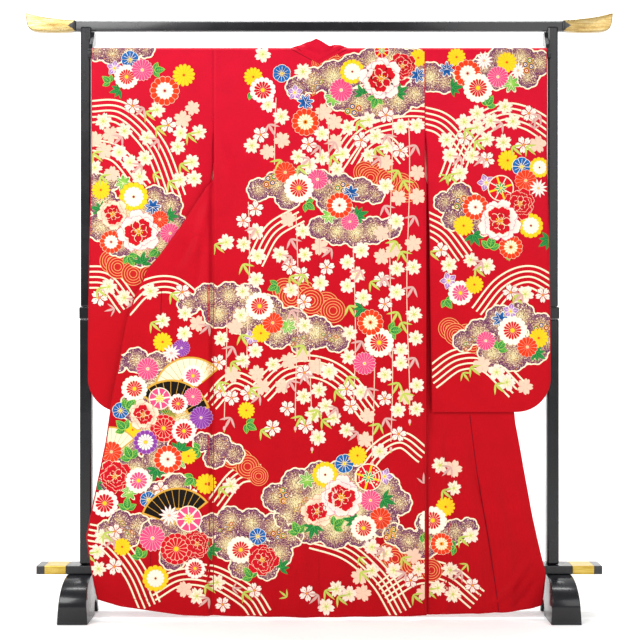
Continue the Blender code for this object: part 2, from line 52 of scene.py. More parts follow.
def toLinear(code):
    channels = [int(code[i:i + 2], 16) / 255 for i in (1, 3, 5)]
    return [c / 12.92 if c <= 0.04045 else ((c + 0.055) / 1.055) ** 2.4 for c in channels]


def fillSockets(tree, node, values):
    for key, value in values.items():
        socket = node.inputs[key]
        if isinstance(value, bpy.types.NodeSocket):
            tree.links.new(value, socket)
        elif isinstance(value, str):
            socket.default_value = (*toLinear(value), 1.0)
        else:
            socket.default_value = value


def addNode(tree, kind, values=None, out=0, stops=None, **settings):
    # adds a node with its settings and links, and gives one of its outputs
    node = tree.nodes.new(kind if "Node" in kind else "ShaderNode" + kind)
    for name, value in settings.items():
        setattr(node, name, value)
    if stops:
        elements = node.color_ramp.elements
        while len(elements) < len(stops):
            elements.new(0.5)
        for element, (place, colour) in zip(elements, stops):
            element.position = place
            tint = toLinear(colour) if isinstance(colour, str) else (colour, colour, colour)
            element.color = (*tint, 1.0)
    fillSockets(tree, node, values or {})
    return node.outputs[out]


def startMaterial(name):
    made = bpy.data.materials.new(name)
    made.use_nodes = True
    tree = made.node_tree
    coordinates = tree.nodes.new("ShaderNodeTexCoord").outputs
    return made, partial(addNode, tree), tree.nodes["Principled BSDF"], coordinates


def addPiece(name, mesh, materials):
    piece = bpy.data.objects.new(name, mesh)
    bpy.context.scene.collection.objects.link(piece)
    for material in materials:
        mesh.materials.append(material)
    return piece


def ridesAs(piece, slotName, *replaced):
    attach(piece, "root")
    if replaced:
        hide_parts(*replaced)


def metres(*rows):
    # sizes and places in the tables below are in millimetres
    return [tuple(value / 1000 for value in row) for row in rows]


def table(names, *rows):
    return [dict(zip(names.split(), row)) for row in metres(*rows)]


def ramp(value, width):
    # rises from 0 to 1 over the width
    return np.clip(value / width, 0, 1)


def curved(a, b, c, d, t):
    # a smooth curve's place between b and c
    return 0.5 * (2 * b + (c - a) * t + (2 * a - 5 * b + 4 * c - d) * t**2 + (3 * b - a - 3 * c + d) * t**3)


sides = (("left", -1), ("right", 1))


# silk crepe: twisted threads give a fine pebbled face, matt with a soft sheen. They are drawn about twice
# as coarse as real ones, so that they show.

crepe = {"threadsPerMetre": 620, "pebble": 260, "bumpDepth": 0.00035, "roughness": 0.56, "sheen": 0.03}


def silk(name, pebbleShadeDepth, dyeing):
    # "dyeing" adds the nodes of the colour
    made, add, shader, coordinates = startMaterial(name)
    uv = coordinates["UV"]
    stretched = add("Mapping", {"Vector": uv, "Scale": (1.0, 0.45, 1.0)})
    pebble = add("TexNoise", {"Vector": stretched, "Scale": crepe["pebble"], "Detail": 3.0,
        "Roughness": 0.65})
    thread = add("TexWave", {"Vector": uv, "Scale": crepe["threadsPerMetre"] / 6, "Distortion": 3.0,
        "Detail": 2.0, "Detail Scale": 2.0}, "Fac", bands_direction="Y")
    height = add("Math", {0: thread, 1: 0.3, 2: pebble}, operation="MULTIPLY_ADD")
    slack = add("TexNoise", {"Vector": coordinates["Object"], "Scale": 17.0, "Detail": 3.0,
        "Roughness": 0.55})
    # a slow unevenness of the dye, and painted shade in the hollows between the pebbles
    cloudy = add("ValToRGB", {"Fac": slack}, stops=[(0.3, 0.86), (0.7, 1.0)])
    uneven = add("Mix", {0: 0.6, 6: dyeing(add, coordinates, slack), 7: cloudy}, 2, data_type="RGBA",
        blend_type="MULTIPLY")
    pebbleShade = add("ValToRGB", {"Fac": height}, stops=[(0.4, 0.70), (0.85, 1.0)])
    colour = add("Mix", {0: pebbleShadeDepth, 6: uneven, 7: pebbleShade}, 2, data_type="RGBA", blend_type="MULTIPLY")
    bump = add("Bump", {"Strength": 0.30, "Distance": crepe["bumpDepth"], "Height": height})
    fillSockets(made.node_tree, shader, {"Base Color": colour, "Roughness": crepe["roughness"],
        "Normal": bump, "Sheen Weight": crepe["sheen"], "Sheen Roughness": 0.4, "Specular IOR Level": 0.08})
    return made


def redDyeWithPaintedLight(add, coordinates, slack):
    # aniline red, painted pinker and lighter towards the shoulders, where more light falls, and deeper
    # below: painted light
    rise = add("SeparateXYZ", {0: coordinates["Object"]}, "Z")
    rise = add("MapRange", {"Value": rise, "From Min": 0.0, "From Max": 1.65})
    return add("ValToRGB", {"Fac": rise}, stops=[(0.0, "#AE0210"), (0.5, "#BA0416"), (1.0, "#CC0C2C")])


def handDyes(add, coordinates, slack):
    # many colours, read from the pattern's own attribute
    return add("Attribute", out="Color", attribute_name="dye")


def fleckedDye(add, coordinates, slack):
    # cloud grounds: cream and gold flecks over plum, paler towards the cloud's middle
    uv = coordinates["UV"]
    inward = add("Attribute", out="Fac", attribute_name="inward")
    wander = add("Math", {0: slack, 1: 0.35, 2: inward}, operation="MULTIPLY_ADD")
    ground = add("ValToRGB", {"Fac": wander}, stops=[(0.12, "#521450"), (0.50, "#702C52"),
        (0.85, "#84503E"), (1.0, "#8A6A44")])
    pale = add("ValToRGB", {"Fac": wander}, stops=[(0.12, "#A87094"), (0.55, "#D9BC98"), (0.95, "#EBDDA8")])
    fleck = add("TexNoise", {"Vector": uv, "Scale": 330.0, "Detail": 3.0, "Roughness": 0.7})
    share = add("Math", {0: inward, 1: 0.16, 2: fleck}, operation="MULTIPLY_ADD")
    shown = add("ValToRGB", {"Fac": share}, stops=[(0.56, 0.0), (0.62, 1.0)])
    flecked = add("Mix", {0: shown, 6: ground, 7: pale}, 2, data_type="RGBA")
    cells = {"Vector": uv, "Scale": 165.0}
    near, tint = (add("TexVoronoi", cells, out) for out in ("Distance", "Color"))
    dots = add("ValToRGB", {"Fac": add("SeparateColor", {0: tint})},
               stops=[(0.0, "#431038"), (0.45, "#E8D08C"), (0.74, "#F6EEDC"), (0.9, "#C58A2C")])
    spot = add("ValToRGB", {"Fac": near}, stops=[(0.26, 1.0), (0.34, 0.0)])
    return add("Mix", {0: spot, 6: flecked, 7: dots}, 2, data_type="RGBA")


def liningDye(add, coordinates, slack):
    # plain beige-pink
    return add("ValToRGB", {"Fac": slack}, stops=[(0.3, "#D9A08C"), (0.7, "#E8BBA6")])


# lacquer and gilt on turned and sawn wood: lacquer is black and wet-looking, gilt is satin, worn in streaks

def lacquerNodes(add, place):
    smear = add("TexNoise", {"Vector": place, "Scale": 11.0, "Detail": 4.0, "Roughness": 0.6})
    black = add("ValToRGB", {"Fac": smear}, stops=[(0.3, "#0B0C0F"), (0.75, "#191A1F")])
    dust = add("TexNoise", {"Vector": place, "Scale": 900.0})
    shown = add("ValToRGB", {"Fac": dust}, stops=[(0.70, 0.0), (0.78, 0.4)])
    colour = add("Mix", {0: shown, 6: black, 7: "#4A4844"}, 2, data_type="RGBA")
    rough = add("MapRange", {"Value": smear, "From Min": 0.3, "From Max": 0.7, "To Min": 0.20,
        "To Max": 0.32})
    ripple = add("TexNoise", {"Vector": place, "Scale": 38.0})
    return colour, rough, ripple


def blackLacquer():
    made, add, shader, coordinates = startMaterial("black lacquer on wood")
    colour, rough, ripple = lacquerNodes(add, coordinates["Object"])
    bump = add("Bump", {"Strength": 0.12, "Distance": 0.0006, "Height": ripple})
    fillSockets(made.node_tree, shader, {"Base Color": colour, "Roughness": rough, "Coat Weight": 0.25,
        "Coat Roughness": 0.12, "Specular IOR Level": 0.3, "Normal": bump})
    return made


def giltWood(name, look):
    # gilt laid over black lacquer, which shows in a shaped edge: "edge" gives how far it reaches from the
    # end's start, from the middle of the end's height (0) to its rim (1)
    made, add, shader, coordinates = startMaterial(name)
    place = coordinates["Object"]
    black, blackRough, _ = lacquerNodes(add, place)
    split = [add("SeparateXYZ", {0: place}, axis) for axis in "XYZ"]
    outward = add("Math", {0: split[0]}, operation="ABSOLUTE")
    start, end = look["start"], look["start"] + look["reach"]
    reach = add("MapRange", {"Value": outward, "From Min": start, "From Max": end})
    rims = []
    for channel, (low, high) in zip(split[1:], (look["y"], look["z"])):
        offset = add("MapRange", {"Value": channel, "From Min": low, "From Max": high, "To Min": -1.0})
        rims.append(add("Math", {0: offset}, operation="ABSOLUTE"))
    rim = add("Math", {0: rims[0], 1: rims[1]}, operation=look["across"])
    edge = add("ValToRGB", {"Fac": rim}, stops=look["edge"])
    lacquered = add("Math", {0: reach, 1: edge}, operation=look["lacquer"])
    streaks = add("Mapping", {"Vector": place, "Scale": (14.0, 160.0, 160.0)})
    streak = add("TexNoise", {"Vector": streaks, "Scale": 1.0, "Detail": 4.0, "Roughness": 0.65})
    speck = add("TexNoise", {"Vector": place, "Scale": 300.0, "Detail": 3.0, "Roughness": 0.6})
    gold = add("ValToRGB", {"Fac": streak}, stops=[(0.28, look["deep"]), (0.5, look["gold"]),
        (0.8, look["pale"])])
    worn = add("ValToRGB", {"Fac": speck}, stops=[(0.60, 0.0), (0.72, 0.45)])
    gilt = add("Mix", {0: worn, 6: gold, 7: look["deep"]}, 2, data_type="RGBA")
    colour = add("Mix", {0: lacquered, 6: gilt, 7: black}, 2, data_type="RGBA")
    metal = add("MapRange", {"Value": lacquered, "To Min": 0.9, "To Max": 0.0})
    satin = add("MapRange", {"Value": speck, "From Min": 0.3, "From Max": 0.7, "To Min": look["rough"],
        "To Max": look["rough"] + 0.16})
    rough = add("Mix", {0: lacquered, 2: satin, 3: blackRough})
    bump = add("Bump", {"Strength": 0.15, "Distance": 0.0005, "Height": streak})
    fillSockets(made.node_tree, shader, {"Base Color": colour, "Metallic": metal, "Roughness": rough,
        "Coat Weight": 0.25, "Coat Roughness": 0.1, "Normal": bump})
    return made


silkRed, silkDyed = silk("red silk crepe", 0.35, redDyeWithPaintedLight), silk("dyed silk crepe", 0.22, handDyes)
silkFlecked, silkLining = silk("flecked silk crepe", 0.2, fleckedDye), silk("silk lining", 0.15, liningDye)
lacquer = blackLacquer()
print("materials made")


# rack

rack = {
    "footX": 0.6965, "footHalfDepth": 0.095, "footHeight": 0.120, "footWidth": 0.072,
    "footFloorWidth": 0.087, "barChamfer": 0.0062, "finialStart": 0.7128, "finialDepth": 0.026,
    "knobRadius": 0.009, "edge": 0.003,
}


def finishPart(bm, name, node, material, slotName, smoothUnder):
    mesh = bpy.data.meshes.new(name)
    bmesh.ops.recalc_face_normals(bm, faces=bm.faces)
    bm.to_mesh(mesh)
    bm.free()
    mesh.shade_smooth()
    mesh.set_sharp_from_angle(angle=math.radians(smoothUnder))
    ridesAs(addPiece(name, mesh, [material]), slotName, node)


def smoothLine(points, steps=8):
    # a smooth curve through given points
    points = [np.array(point, float) for point in points]
    ends = [2 * points[0] - points[1], *points, 2 * points[-1] - points[-2]]
    line = []
    for four in zip(ends, ends[1:], ends[2:], ends[3:]):
        line += [curved(*four, t) for t in np.arange(steps) / steps]
    return [tuple(point) for point in [*line, points[-1]]]


def ellipseArc(centre, radius, first, last, steps):
    turns = np.radians(np.linspace(first, last, steps + 1))
    return [(centre[0] + radius[0] * math.cos(t), centre[1] + radius[1] * math.sin(t)) for t in turns]


def sawnPiece(outline, low, high, along, edge, spread=0.0, height=1.0):
    # an outline sawn out of a plank, its edges eased. "spread" widens the plank towards the floor.
    bm = bmesh.new()
    rings = []
    for place in (low, high):
        ring = []
        for across, up in outline:
            middle = (low + high) / 2
            wide = middle + (place - middle) * (1 + spread * (1 - up / height))
            ring.append(bm.verts.new((wide, across, up) if along == "X" else (across, wide, up)))
        rings.append(ring)
    count = len(outline)
    for i in range(count):
        bm.faces.new((rings[0][i], rings[0][i - 1], rings[1][i - 1], rings[1][i]))
    for ring in rings:
        bm.faces.new(ring)
    bmesh.ops.recalc_face_normals(bm, faces=bm.faces)
    eased = [e for e in bm.edges if e.calc_face_angle(0) > math.radians(30)]
    bmesh.ops.bevel(bm, geom=eased, offset=edge, segments=4, affect="EDGES", profile=0.5,
        clamp_overlap=True)
    return bm


def makeFeet():
    half, height = rack["footHalfDepth"], rack["footHeight"]
    front = ellipseArc((0.015, 0.045), (0.015 + half, height - 0.045), 180, 90, 28)
    hollow = smoothLine([(0.077, 0.0), (0.069, 0.030), (0.050, 0.040), (0.033, 0.028), (0.023, 0.0)])
    outline = [*front, (half, height), (half, 0.0), *hollow, (-half, 0.0)]
    spread = rack["footFloorWidth"] / rack["footWidth"] - 1
    for word, side in sides:
        middle = side * rack["footX"]
        bm = sawnPiece(outline, middle - rack["footWidth"] / 2, middle + rack["footWidth"] / 2, "X",
            rack["edge"], spread, height)
        finishPart(bm, "lacquered_foot_" + word, "foot_" + word, lacquer, "lacquer", 36)


def makeTopBar():
    # the upper front and back edges are planed off
    low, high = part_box("top_bar")
    cut = rack["barChamfer"]
    section = [(low.y, low.z), (high.y, low.z), (high.y, high.z - cut), (high.y - cut, high.z),
        (low.y + cut, high.z), (low.y, high.z - cut)]
    bm = sawnPiece(section, low.x, high.x, "X", 0.0012)
    finishPart(bm, "lacquered_top_bar", "top_bar", lacquer, "lacquer", 36)


def makeFinials(gilt):
    low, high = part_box("top_bar")
    start, top, foot = rack["finialStart"], high.z, low.z
    over = smoothLine([(start, top), (0.740, top + 0.0012), (0.770, top + 0.0042), (0.805, top + 0.0085),
        (0.835, top + 0.015), (0.860, top + 0.021)], 5)
    under = smoothLine([(0.8585, top + 0.010), (0.857, top - 0.004), (0.853, foot + 0.014),
        (0.846, foot + 0.005), (0.828, foot - 0.001), (0.805, foot - 0.0025), (0.761, foot - 0.0035),
        (start, foot)], 5)
    middle = (low.y + high.y) / 2
    for word, side in sides:
        outline = [(side * x, z) for x, z in over + under]
        bm = sawnPiece(outline, middle - rack["finialDepth"] / 2, middle + rack["finialDepth"] / 2, "Y",
            0.0042)
        finishPart(bm, "gilt_bar_end_" + word, "bar_finial_" + word, gilt, "gilt", 34)


def makeKnobs():
    # a turned knob with a groove behind its rim
    radius = rack["knobRadius"]
    for word, _ in sides:
        low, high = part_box("clamp_knob_" + word)
        width, middleY, middleZ = high.x - low.x, (low.y + high.y) / 2, (low.z + high.z) / 2
        profile = [(0.0, 0.72), (0.06, 0.94), (0.16, 1.0), (0.40, 1.0), (0.46, 0.92), (0.54, 0.92),
            (0.60, 1.0), (0.84, 1.0), (0.94, 0.94), (1.0, 0.72)]
        bm = bmesh.new()
        rings = []
        for along, share in profile:
            turns = [2 * math.pi * i / 48 for i in range(48)]
            rings.append([bm.verts.new((low.x + along * width, middleY + radius * share * math.cos(t),
                middleZ + radius * share * math.sin(t))) for t in turns])
        for first, second in zip(rings, rings[1:]):
            for i in range(48):
                bm.faces.new((first[i], first[i - 1], second[i - 1], second[i]))
        bm.faces.new(rings[0])
        bm.faces.new(rings[-1])
        finishPart(bm, "turned_knob_" + word, "clamp_knob_" + word, lacquer, "lacquer", 32)


def makeRack():
    bar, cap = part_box("top_bar"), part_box("rail_cap_right")
    barGilt = giltWood("gilt bar end", {
        "start": rack["finialStart"], "reach": 0.040, "y": (bar[0].y, bar[1].y), "z": (bar[0].z, bar[1].z),
        "across": "MINIMUM", "lacquer": "LESS_THAN", "rough": 0.22,
        "deep": "#80602A", "gold": "#A88F56", "pale": "#C2B48E",
        "edge": [(0.0, 0.62), (0.12, 0.50), (0.3, 0.42), (0.55, 0.22), (1.0, 0.06)],
    })
    capGilt = giltWood("gilt rail end", {
        "start": cap[0].x + 0.062, "reach": 0.025, "y": (cap[0].y, cap[1].y), "z": (cap[0].z, cap[1].z),
        "across": "MAXIMUM", "lacquer": "GREATER_THAN", "rough": 0.30,
        "deep": "#98781F", "gold": "#C4A440", "pale": "#DCC670",
        "edge": [(0.0, 0.95), (0.35, 0.80), (0.6, 0.45), (0.8, 0.2), (1.0, 0.0)],
    })
    makeFeet()
    makeTopBar()
    makeFinials(barGilt)
    makeKnobs()
    plain = {"rod", "rod_hook_left", "rod_hook_right", "lower_rail"}
    for name, node in nodes.items():
        if name in plain or name.startswith(("post_", "rail_cap")):
            node.data.materials.clear()
            node.data.materials.append(capGilt if name.startswith("rail_cap") else lacquer)


makeRack()
print("rack made")


# the cloth's forms: the same sections as the solids they stand for, finer, with creases

cloth = {
    "wall": 0.0015, "collarWall": 0.0026, "seam": 0.0003, "shoulderZ": 1.646, "bodyHalf": 0.304,
    "neckHalf": 0.082, "neckDrop": 0.045, "underarmZ": 1.262, "cuffEndZ": 1.416, "sleeveBottomZ": 0.594,
    "sleeveCorner": 0.098, "frontWidth": 0.240, "frontShoulderWidth": 0.221, "okumiTipZ": 1.376,
    "okumiEndZ": 0.796, "hemZ": 0.006, "collarWidth": 0.055, "collarPass": 0.0017, "rodRadius": 0.011,
    "hemLiftReach": 0.25, "pleatLayer": 0.0055, "level": 0.0085,
}
halfSeam = cloth["seam"] / 2
rodZ = cloth["shoulderZ"] - cloth["wall"] - cloth["seam"] - cloth["rodRadius"]
layerR = cloth["rodRadius"] + cloth["seam"] + cloth["wall"] / 2
bodyHalf = cloth["bodyHalf"]

# the left front folds at "fold" outwards from the side seam: "runY" is its outer layer, "backY" its inner
leftFront = table("z fold runY backY", (0, 332, -33, -21), (68, 342, -32, -20), (239, 365, -30, -18),
    (513, 309, -28, -16), (617, 294, -28, -16), (857, 249, -28, -16), (921, 229, -28, -14.5),
    (1004, 190, -28, -12.5), (1048, 153, -28, -12.5), (1135, 90, -27, -12.5), (1245, 18, -23, -11.5),
    (1258, 5, -12.2, -7.4))
rightFront = table("z pleat fold runY backY", (0, 10, 338, -14, -2), (114, 12, 349, -12, 0),
    (181, 19, 352, -10, 2), (292, 30, 345, -6, 6), (419, 40, 322, -1, 11), (560, 50, 292, 7, 19),
    (660, 51, 266, 12, 24), (800, 46, 230, 14, 26), (921, 38, 190, 14, 26), (1048, 24, 130, 14, 26),
    (1135, 12, 75, 14, 26), (1200, -4, 40, 12, 23), (1245, -4, 14, 7, 15), (1258, -4, 5, -1, 5))
hemLift = table("x lift", (-690, 72), (-657, 60), (-570, 34), (-390, 8), (-40, 0), (256, 4), (530, 12),
    (612, 24), (650, 36))
sleeveEdge = table("z inner outer", (560, 326, 668), (800, 323, 668), (1100, 318, 664), (1300, 311, 658),
    (1416, 304, 656), (1700, 304, 656))
sleeveHalfGap = table("z gap", (594, 5), (1000, 6.5), (1300, 8), (1416, 1000 * layerR),
    (1700, 1000 * layerR))
# the collar round the neck: degrees round the rod, x of its seam, and its top edge's place
collarBack = [(88, 81.8, 28, 14, 1642), (60, 82.2, 30, 13.5, 1650), (30, 82.5, 34, 10, 1657),
    (0, 80, 38, 3, 1662), (-30, 67.5, 34, -4, 1667), (-60, 56, 30, -9, 1669), (-90, 46, 24, -12, 1670),
    (-90, 24, 12, -13, 1671), (-90, 0, 0, -13, 1672)]

collarDips = table("x dip", (-82, 0), (-45, 4), (-25, 7), (-9, 1), (12, 11), (30, 21), (45, 9), (60, -2),
    (82, 0))

# soft creases: x and z of each one's start and of its end, its height at the middle towards the side that
# shows (below 0, a trough's depth), and the width of its slope
creases = {
    "leftFlap": metres((-305, 1215, -380, 1000, 8, 12), (-322, 1180, -365, 900, -4, 10),
        (-340, 1120, -430, 990, -3, 12), (-470, 900, -410, 420, 2.2, 40), (-560, 560, -500, 60, 2.6, 36),
        (-390, 500, -370, 10, -2.4, 34), (-620, 300, -575, 60, 2.2, 22)),
    "back": metres((-150, 1560, -190, 300, 1.6, 50), (-75, 560, -62, 10, 4.6, 24),
        (-225, 420, -205, 10, 3.4, 26), (45, 500, 62, 10, 2.6, 24), (170, 640, 155, 10, 4, 28),
        (270, 900, 262, 20, 3, 18), (120, 1500, 150, 700, 1.5, 45), (302, 1420, 250, 1180, 2.8, 20),
        (-302, 1420, -245, 1230, 2.6, 20)),
    "sleeveLeft": metres((-500, 1600, -520, 700, 1.8, 50), (-605, 1560, -625, 640, 1.6, 28),
        (-380, 1580, -350, 1050, 1.8, 34)),
    "sleeveRight": metres((470, 1600, 500, 680, 1.8, 45), (610, 1560, 620, 640, 1.6, 26),
        (365, 1380, 350, 700, 2.6, 20)),
    "rightFlap": metres((352, 640, 372, 20, 8, 14), (436, 600, 515, 10, -5, 8),
        (412, 560, 470, 15, 5.5, 16), (500, 480, 560, 15, 5, 16), (560, 420, 620, 140, 4.8, 16),
        (630, 190, 500, 35, 6.5, 11), (640, 120, 560, 30, -4.5, 9)),
    "hanging": metres((-80, 1500, -100, 200, 2.2, 30), (-180, 1200, -170, 50, 2.6, 30),
        (90, 1450, 80, 100, 2.4, 32), (200, 1250, 190, 50, 2.6, 28)),
}


def creaseAt(area, x, z):
    # how far the cloth stands out there: each crease fades towards its ends
    raised = np.zeros(np.broadcast(x, z).shape)
    for x0, z0, x1, z1, height, width in creases[area]:
        run = np.array((x1 - x0, z1 - z0))
        length = np.linalg.norm(run)
        along = ((x - x0) * run[0] + (z - z0) * run[1]) / length**2
        across = ((x - x0) * run[1] - (z - z0) * run[0]) / length
        bend = 0.06 * length * np.sin(2.4 * math.pi * along) * 0.3
        ends = ramp(along, 0.35) * ramp(1 - along, 0.35 if z1 > 0.1 else 0.001)
        ends = ends * ends * (3 - 2 * ends)
        raised = raised + height * ends * np.exp(-(((across - bend) / width) ** 2))
    return raised


def column(rows, name, z, key="z"):
    return np.interp(z, [row[key] for row in rows], [row[name] for row in rows])


def hemHeight(x, z):
    # a level in the cloth, raised near the hem towards the garment's edges
    share = np.maximum(0.0, 1 - (z - cloth["hemZ"]) / cloth["hemLiftReach"]) ** 2
    return z + column(hemLift, "lift", x, "x") * share


def overRod(side, angle):
    return side * layerR * np.sin(angle), rodZ + layerR * np.cos(angle)


def backY(x, z):
    low = np.maximum(0.0, 1 - z / 0.9)
    return -layerR - 0.012 * low**1.6 + 0.003 * low * np.cos(6 * math.pi * x / bodyHalf)


def neckStart(x):
    return np.maximum(halfSeam, cloth["neckDrop"] * (1 - np.abs(x) / cloth["neckHalf"]))


def downTheBack(x, down, lift=0.0):
    # a point this far down a back panel from the shoulder's top line, lifted off it
    turn = layerR * math.pi / 2
    if down < turn:
        y, z = overRod(-1, down / layerR)
        return x, y * (1 + lift / layerR), rodZ + (z - rodZ) * (1 + lift / layerR)
    z = rodZ - (down - turn)
    return x, float(backY(x, z)) - lift, float(hemHeight(x, z))


def frontEdge(z):
    # width of front and okumi together, from the side seam to the collar's seam
    if z > cloth["okumiTipZ"]:
        share = ramp(z - cloth["okumiTipZ"], cloth["shoulderZ"] - cloth["okumiTipZ"])
        return cloth["frontWidth"] + (cloth["frontShoulderWidth"] - cloth["frontWidth"]) * share
    return float(np.interp(z, [0, cloth["okumiEndZ"], cloth["okumiTipZ"]],
        [0.390, 0.375, cloth["frontWidth"]]))


def frontRoute(side, z):
    # corners (outwards, y) of a front's level section, from the side seam
    passing = layerR + side * cloth["collarPass"] * ramp(1.42 - z, 0.05)
    hang = [(-0.110, passing), (-0.500, passing)]
    if z > 1.26:
        reach = ramp(z - cloth["underarmZ"], cloth["cuffEndZ"] - cloth["underarmZ"])
        start = -0.0100 + (layerR + 0.0100) * reach
        roll = float(np.interp(z, [1.266, 1.274], [0.003, 0.0]))
        turn = [(roll, start), (roll, start + 0.004)] if z < 1.28 else []
        return [(0.0, start), *turn, (-0.050, (start + layerR) / 2), *hang]
    seamY = float(backY(side * bodyHalf, z))
    if side < 0:
        fold, runY, foldedY = (float(column(leftFront, key, z)) for key in ("fold", "runY", "backY"))
        out, into = min(0.014, 0.6 * fold), min(0.004, 0.3 * fold)
        return [(0.0, seamY), (into, seamY), (out, runY), (fold, runY), (fold, foldedY), (out, foldedY),
            (0.002, -0.005), (-0.060, 0.005), *hang]
    pleat, fold, runY, foldedY = (float(column(rightFront, key, z))
        for key in ("pleat", "fold", "runY", "backY"))
    tuck = seamY + cloth["pleatLayer"]
    under = tuck + cloth["pleatLayer"]
    out = float(np.interp(z, [0.45, 0.60], [0.040, 0.007]))
    return [(0.0, seamY), (0.004, seamY), (0.004, tuck), (-pleat, tuck), (-pleat, under),
        (max(0.002, -pleat), under), (min(out, fold), max(runY, under) if z > 0.5 else runY), (fold, runY),
        (fold, foldedY), (-0.040, max(foldedY - 0.004, 0.005)), *hang]


def roundedRoute(route, radius=0.006, steps=7):
    corners = [np.array(corner) for corner in route]
    points = [corners[0]]
    for before, corner, after in zip(corners, corners[1:], corners[2:]):
        ends = [corner + (other - corner) * min(radius / max(np.linalg.norm(other - corner), 1e-9), 0.5)
            for other in (before, after)]
        points += [(1 - t) ** 2 * ends[0] + 2 * t * (1 - t) * corner + t * t * ends[1]
            for t in np.linspace(0, 1, steps)]
    return np.array([*points, corners[-1]])


def lengthsAlong(points):
    return np.r_[0, np.cumsum(np.linalg.norm(np.diff(points, axis=0), axis=1))]


def foldPlaces(side, z):
    route = frontRoute(side, min(z, leftFront[-1]["z"]))
    points = roundedRoute(route)
    lengths = lengthsAlong(points)
    corners = [route[i] for i in ((2, 3, 4, 6) if side < 0 else (2, 3, 4, 6, 7, 8))]
    return [lengths[np.argmin(np.linalg.norm(points - np.array(corner), axis=1))] for corner in corners]


def placesBetween(low, high, count, folds):
    # distances from low to high, closer together where the cloth folds
    fine = np.linspace(low, high, 400)
    weight = np.ones(400)
    for fold in folds:
        weight += 6 * np.exp(-(((fine - fold) / 0.006) ** 2))
    total = np.cumsum(weight)
    inner = np.interp(np.linspace(total[0], total[-1], count - 2), total, fine)
    inner = low + 0.0008 + (inner - low) * (high - low - 0.0016) / (high - low)
    return np.r_[low, inner, high]


def frontSection(side, z, low, high, count):
    # (point, normal) along a front's level section between two distances from the side seam
    points = roundedRoute(frontRoute(side, z))
    lengths = lengthsAlong(points)
    section = []
    for place in placesBetween(low, high, count, foldPlaces(side, z)):
        nearby = place + np.array((-4e-4, 0, 4e-4))
        back, here, ahead = zip(*(np.interp(nearby, lengths, points[:, k]) for k in (0, 1)))
        run = np.subtract(ahead, back)
        run /= np.linalg.norm(run)
        x = side * (bodyHalf + here[0])
        section.append((np.array((x, here[1], float(hemHeight(x, z)))),
            np.array((-side * run[1], run[0], 0.0))))
    return section


def sleeveOuter(z):
    edge = float(column(sleeveEdge, "outer", z))
    corner = cloth["sleeveCorner"]
    rise = corner - (z - cloth["sleeveBottomZ"])
    return edge if rise <= 0 else edge - corner + math.sqrt(max(0.0, corner**2 - rise**2))


def sleeveGap(x, z):
    # half the distance between the sleeve's two layers, which meet along its bottom and its closed edge
    closed = 1 - math.exp(-max(0.0, z - cloth["sleeveBottomZ"]) / 0.035)
    if z < cloth["cuffEndZ"]:
        reach = ramp(cloth["cuffEndZ"] - z, 0.06)
        closed *= 1 - reach * math.exp(-max(0.0, sleeveOuter(z) - x) / 0.03)
        closed *= 1 - 0.75 * reach * math.exp(-max(0.0, x - float(column(sleeveEdge, "inner", z))) / 0.03)
    least = cloth["wall"] / 2 + halfSeam + 0.0001
    return least + (float(column(sleeveHalfGap, "gap", z)) - least) * closed


# cloth shells: a grid of middle points and normals becomes one closed wall with soft edges

def unpacked(grid):
    # the grid's points and its normals
    return (np.array([[cell[k] for cell in row] for row in grid], float) for k in (0, 1))


def packed(places, normals):
    return [list(zip(*row)) for row in zip(places, normals)]


def hang(panel, grid, wall=cloth["wall"], lining=0):
    # "lining" is the material of the face that the normals point away from
    name = "red_" + panel
    places, normals = unpacked(grid)
    rows, columns = places.shape[:2]
    rim = min(0.0006, wall * 0.4)
    points = [(places + normals * half).reshape(-1, 3) for half in (wall / 2, -wall / 2)]
    other = rows * columns
    faces, marks = [], []
    for i in range(rows - 1):
        for j in range(columns - 1):
            a = i * columns + j
            b, c, d = a + 1, a + columns + 1, a + columns
            for face in ((a, b, c), (a, c, d)):
                faces += [face, tuple(other + corner for corner in face[::-1])]
                marks += [0, lining]
    ring = list(range(columns)) + [i * columns + columns - 1 for i in range(1, rows)]
    ring += [other - 2 - j for j in range(columns - 1)] + [i * columns for i in range(rows - 2, 0, -1)]
    # the rim bulges a little, as a turned edge does
    outer = places.reshape(-1, 3)
    grown = []
    for index in ring:
        i, j = divmod(index, columns)
        inward = places[min(max(i, 1), rows - 2), min(max(j, 1), columns - 2)] - outer[index]
        inward /= max(np.linalg.norm(inward), 1e-9)
        grown.append(outer[index] - inward * rim)
    points.append(np.array(grown))
    start = 2 * other
    for k, a in enumerate(ring):
        b = ring[(k + 1) % len(ring)]
        edge, after = start + k, start + (k + 1) % len(ring)
        faces += [(b, a, edge, after), (after, edge, other + a, other + b)]
        marks += [0, 0]
    points = np.concatenate(points)
    mesh = bpy.data.meshes.new(name)
    mesh.from_pydata(points.tolist(), [], faces)
    mesh.polygons.foreach_set("material_index", marks)
    bm = bmesh.new()
    bm.from_mesh(mesh)
    bmesh.ops.recalc_face_normals(bm, faces=bm.faces)
    bm.to_mesh(mesh)
    bm.free()
    # the weave lies along the cloth: UVs are metres across and down the panel
    across = np.zeros((rows, columns))
    across[:, 1:] = np.cumsum(np.linalg.norm(np.diff(places, axis=1), axis=2), axis=1)
    down = np.zeros((rows, columns))
    down[1:] = np.cumsum(np.linalg.norm(np.diff(places, axis=0), axis=2), axis=0)
    flat = np.stack([across.ravel(), down.ravel()], 1)
    flat = np.concatenate([flat, flat, flat[ring]])
    corners = np.empty(len(mesh.loops), int)
    mesh.loops.foreach_get("vertex_index", corners)
    mesh.uv_layers.new(name="weave").data.foreach_set("uv", flat[corners].ravel())
    mesh.shade_smooth()
    mesh.set_sharp_from_angle(angle=math.radians(70))
    piece = addPiece(name, mesh, [silkRed, silkLining] if panel != "collar" else [silkRed])
    ridesAs(piece, "silk", panel)
    return piece, grid


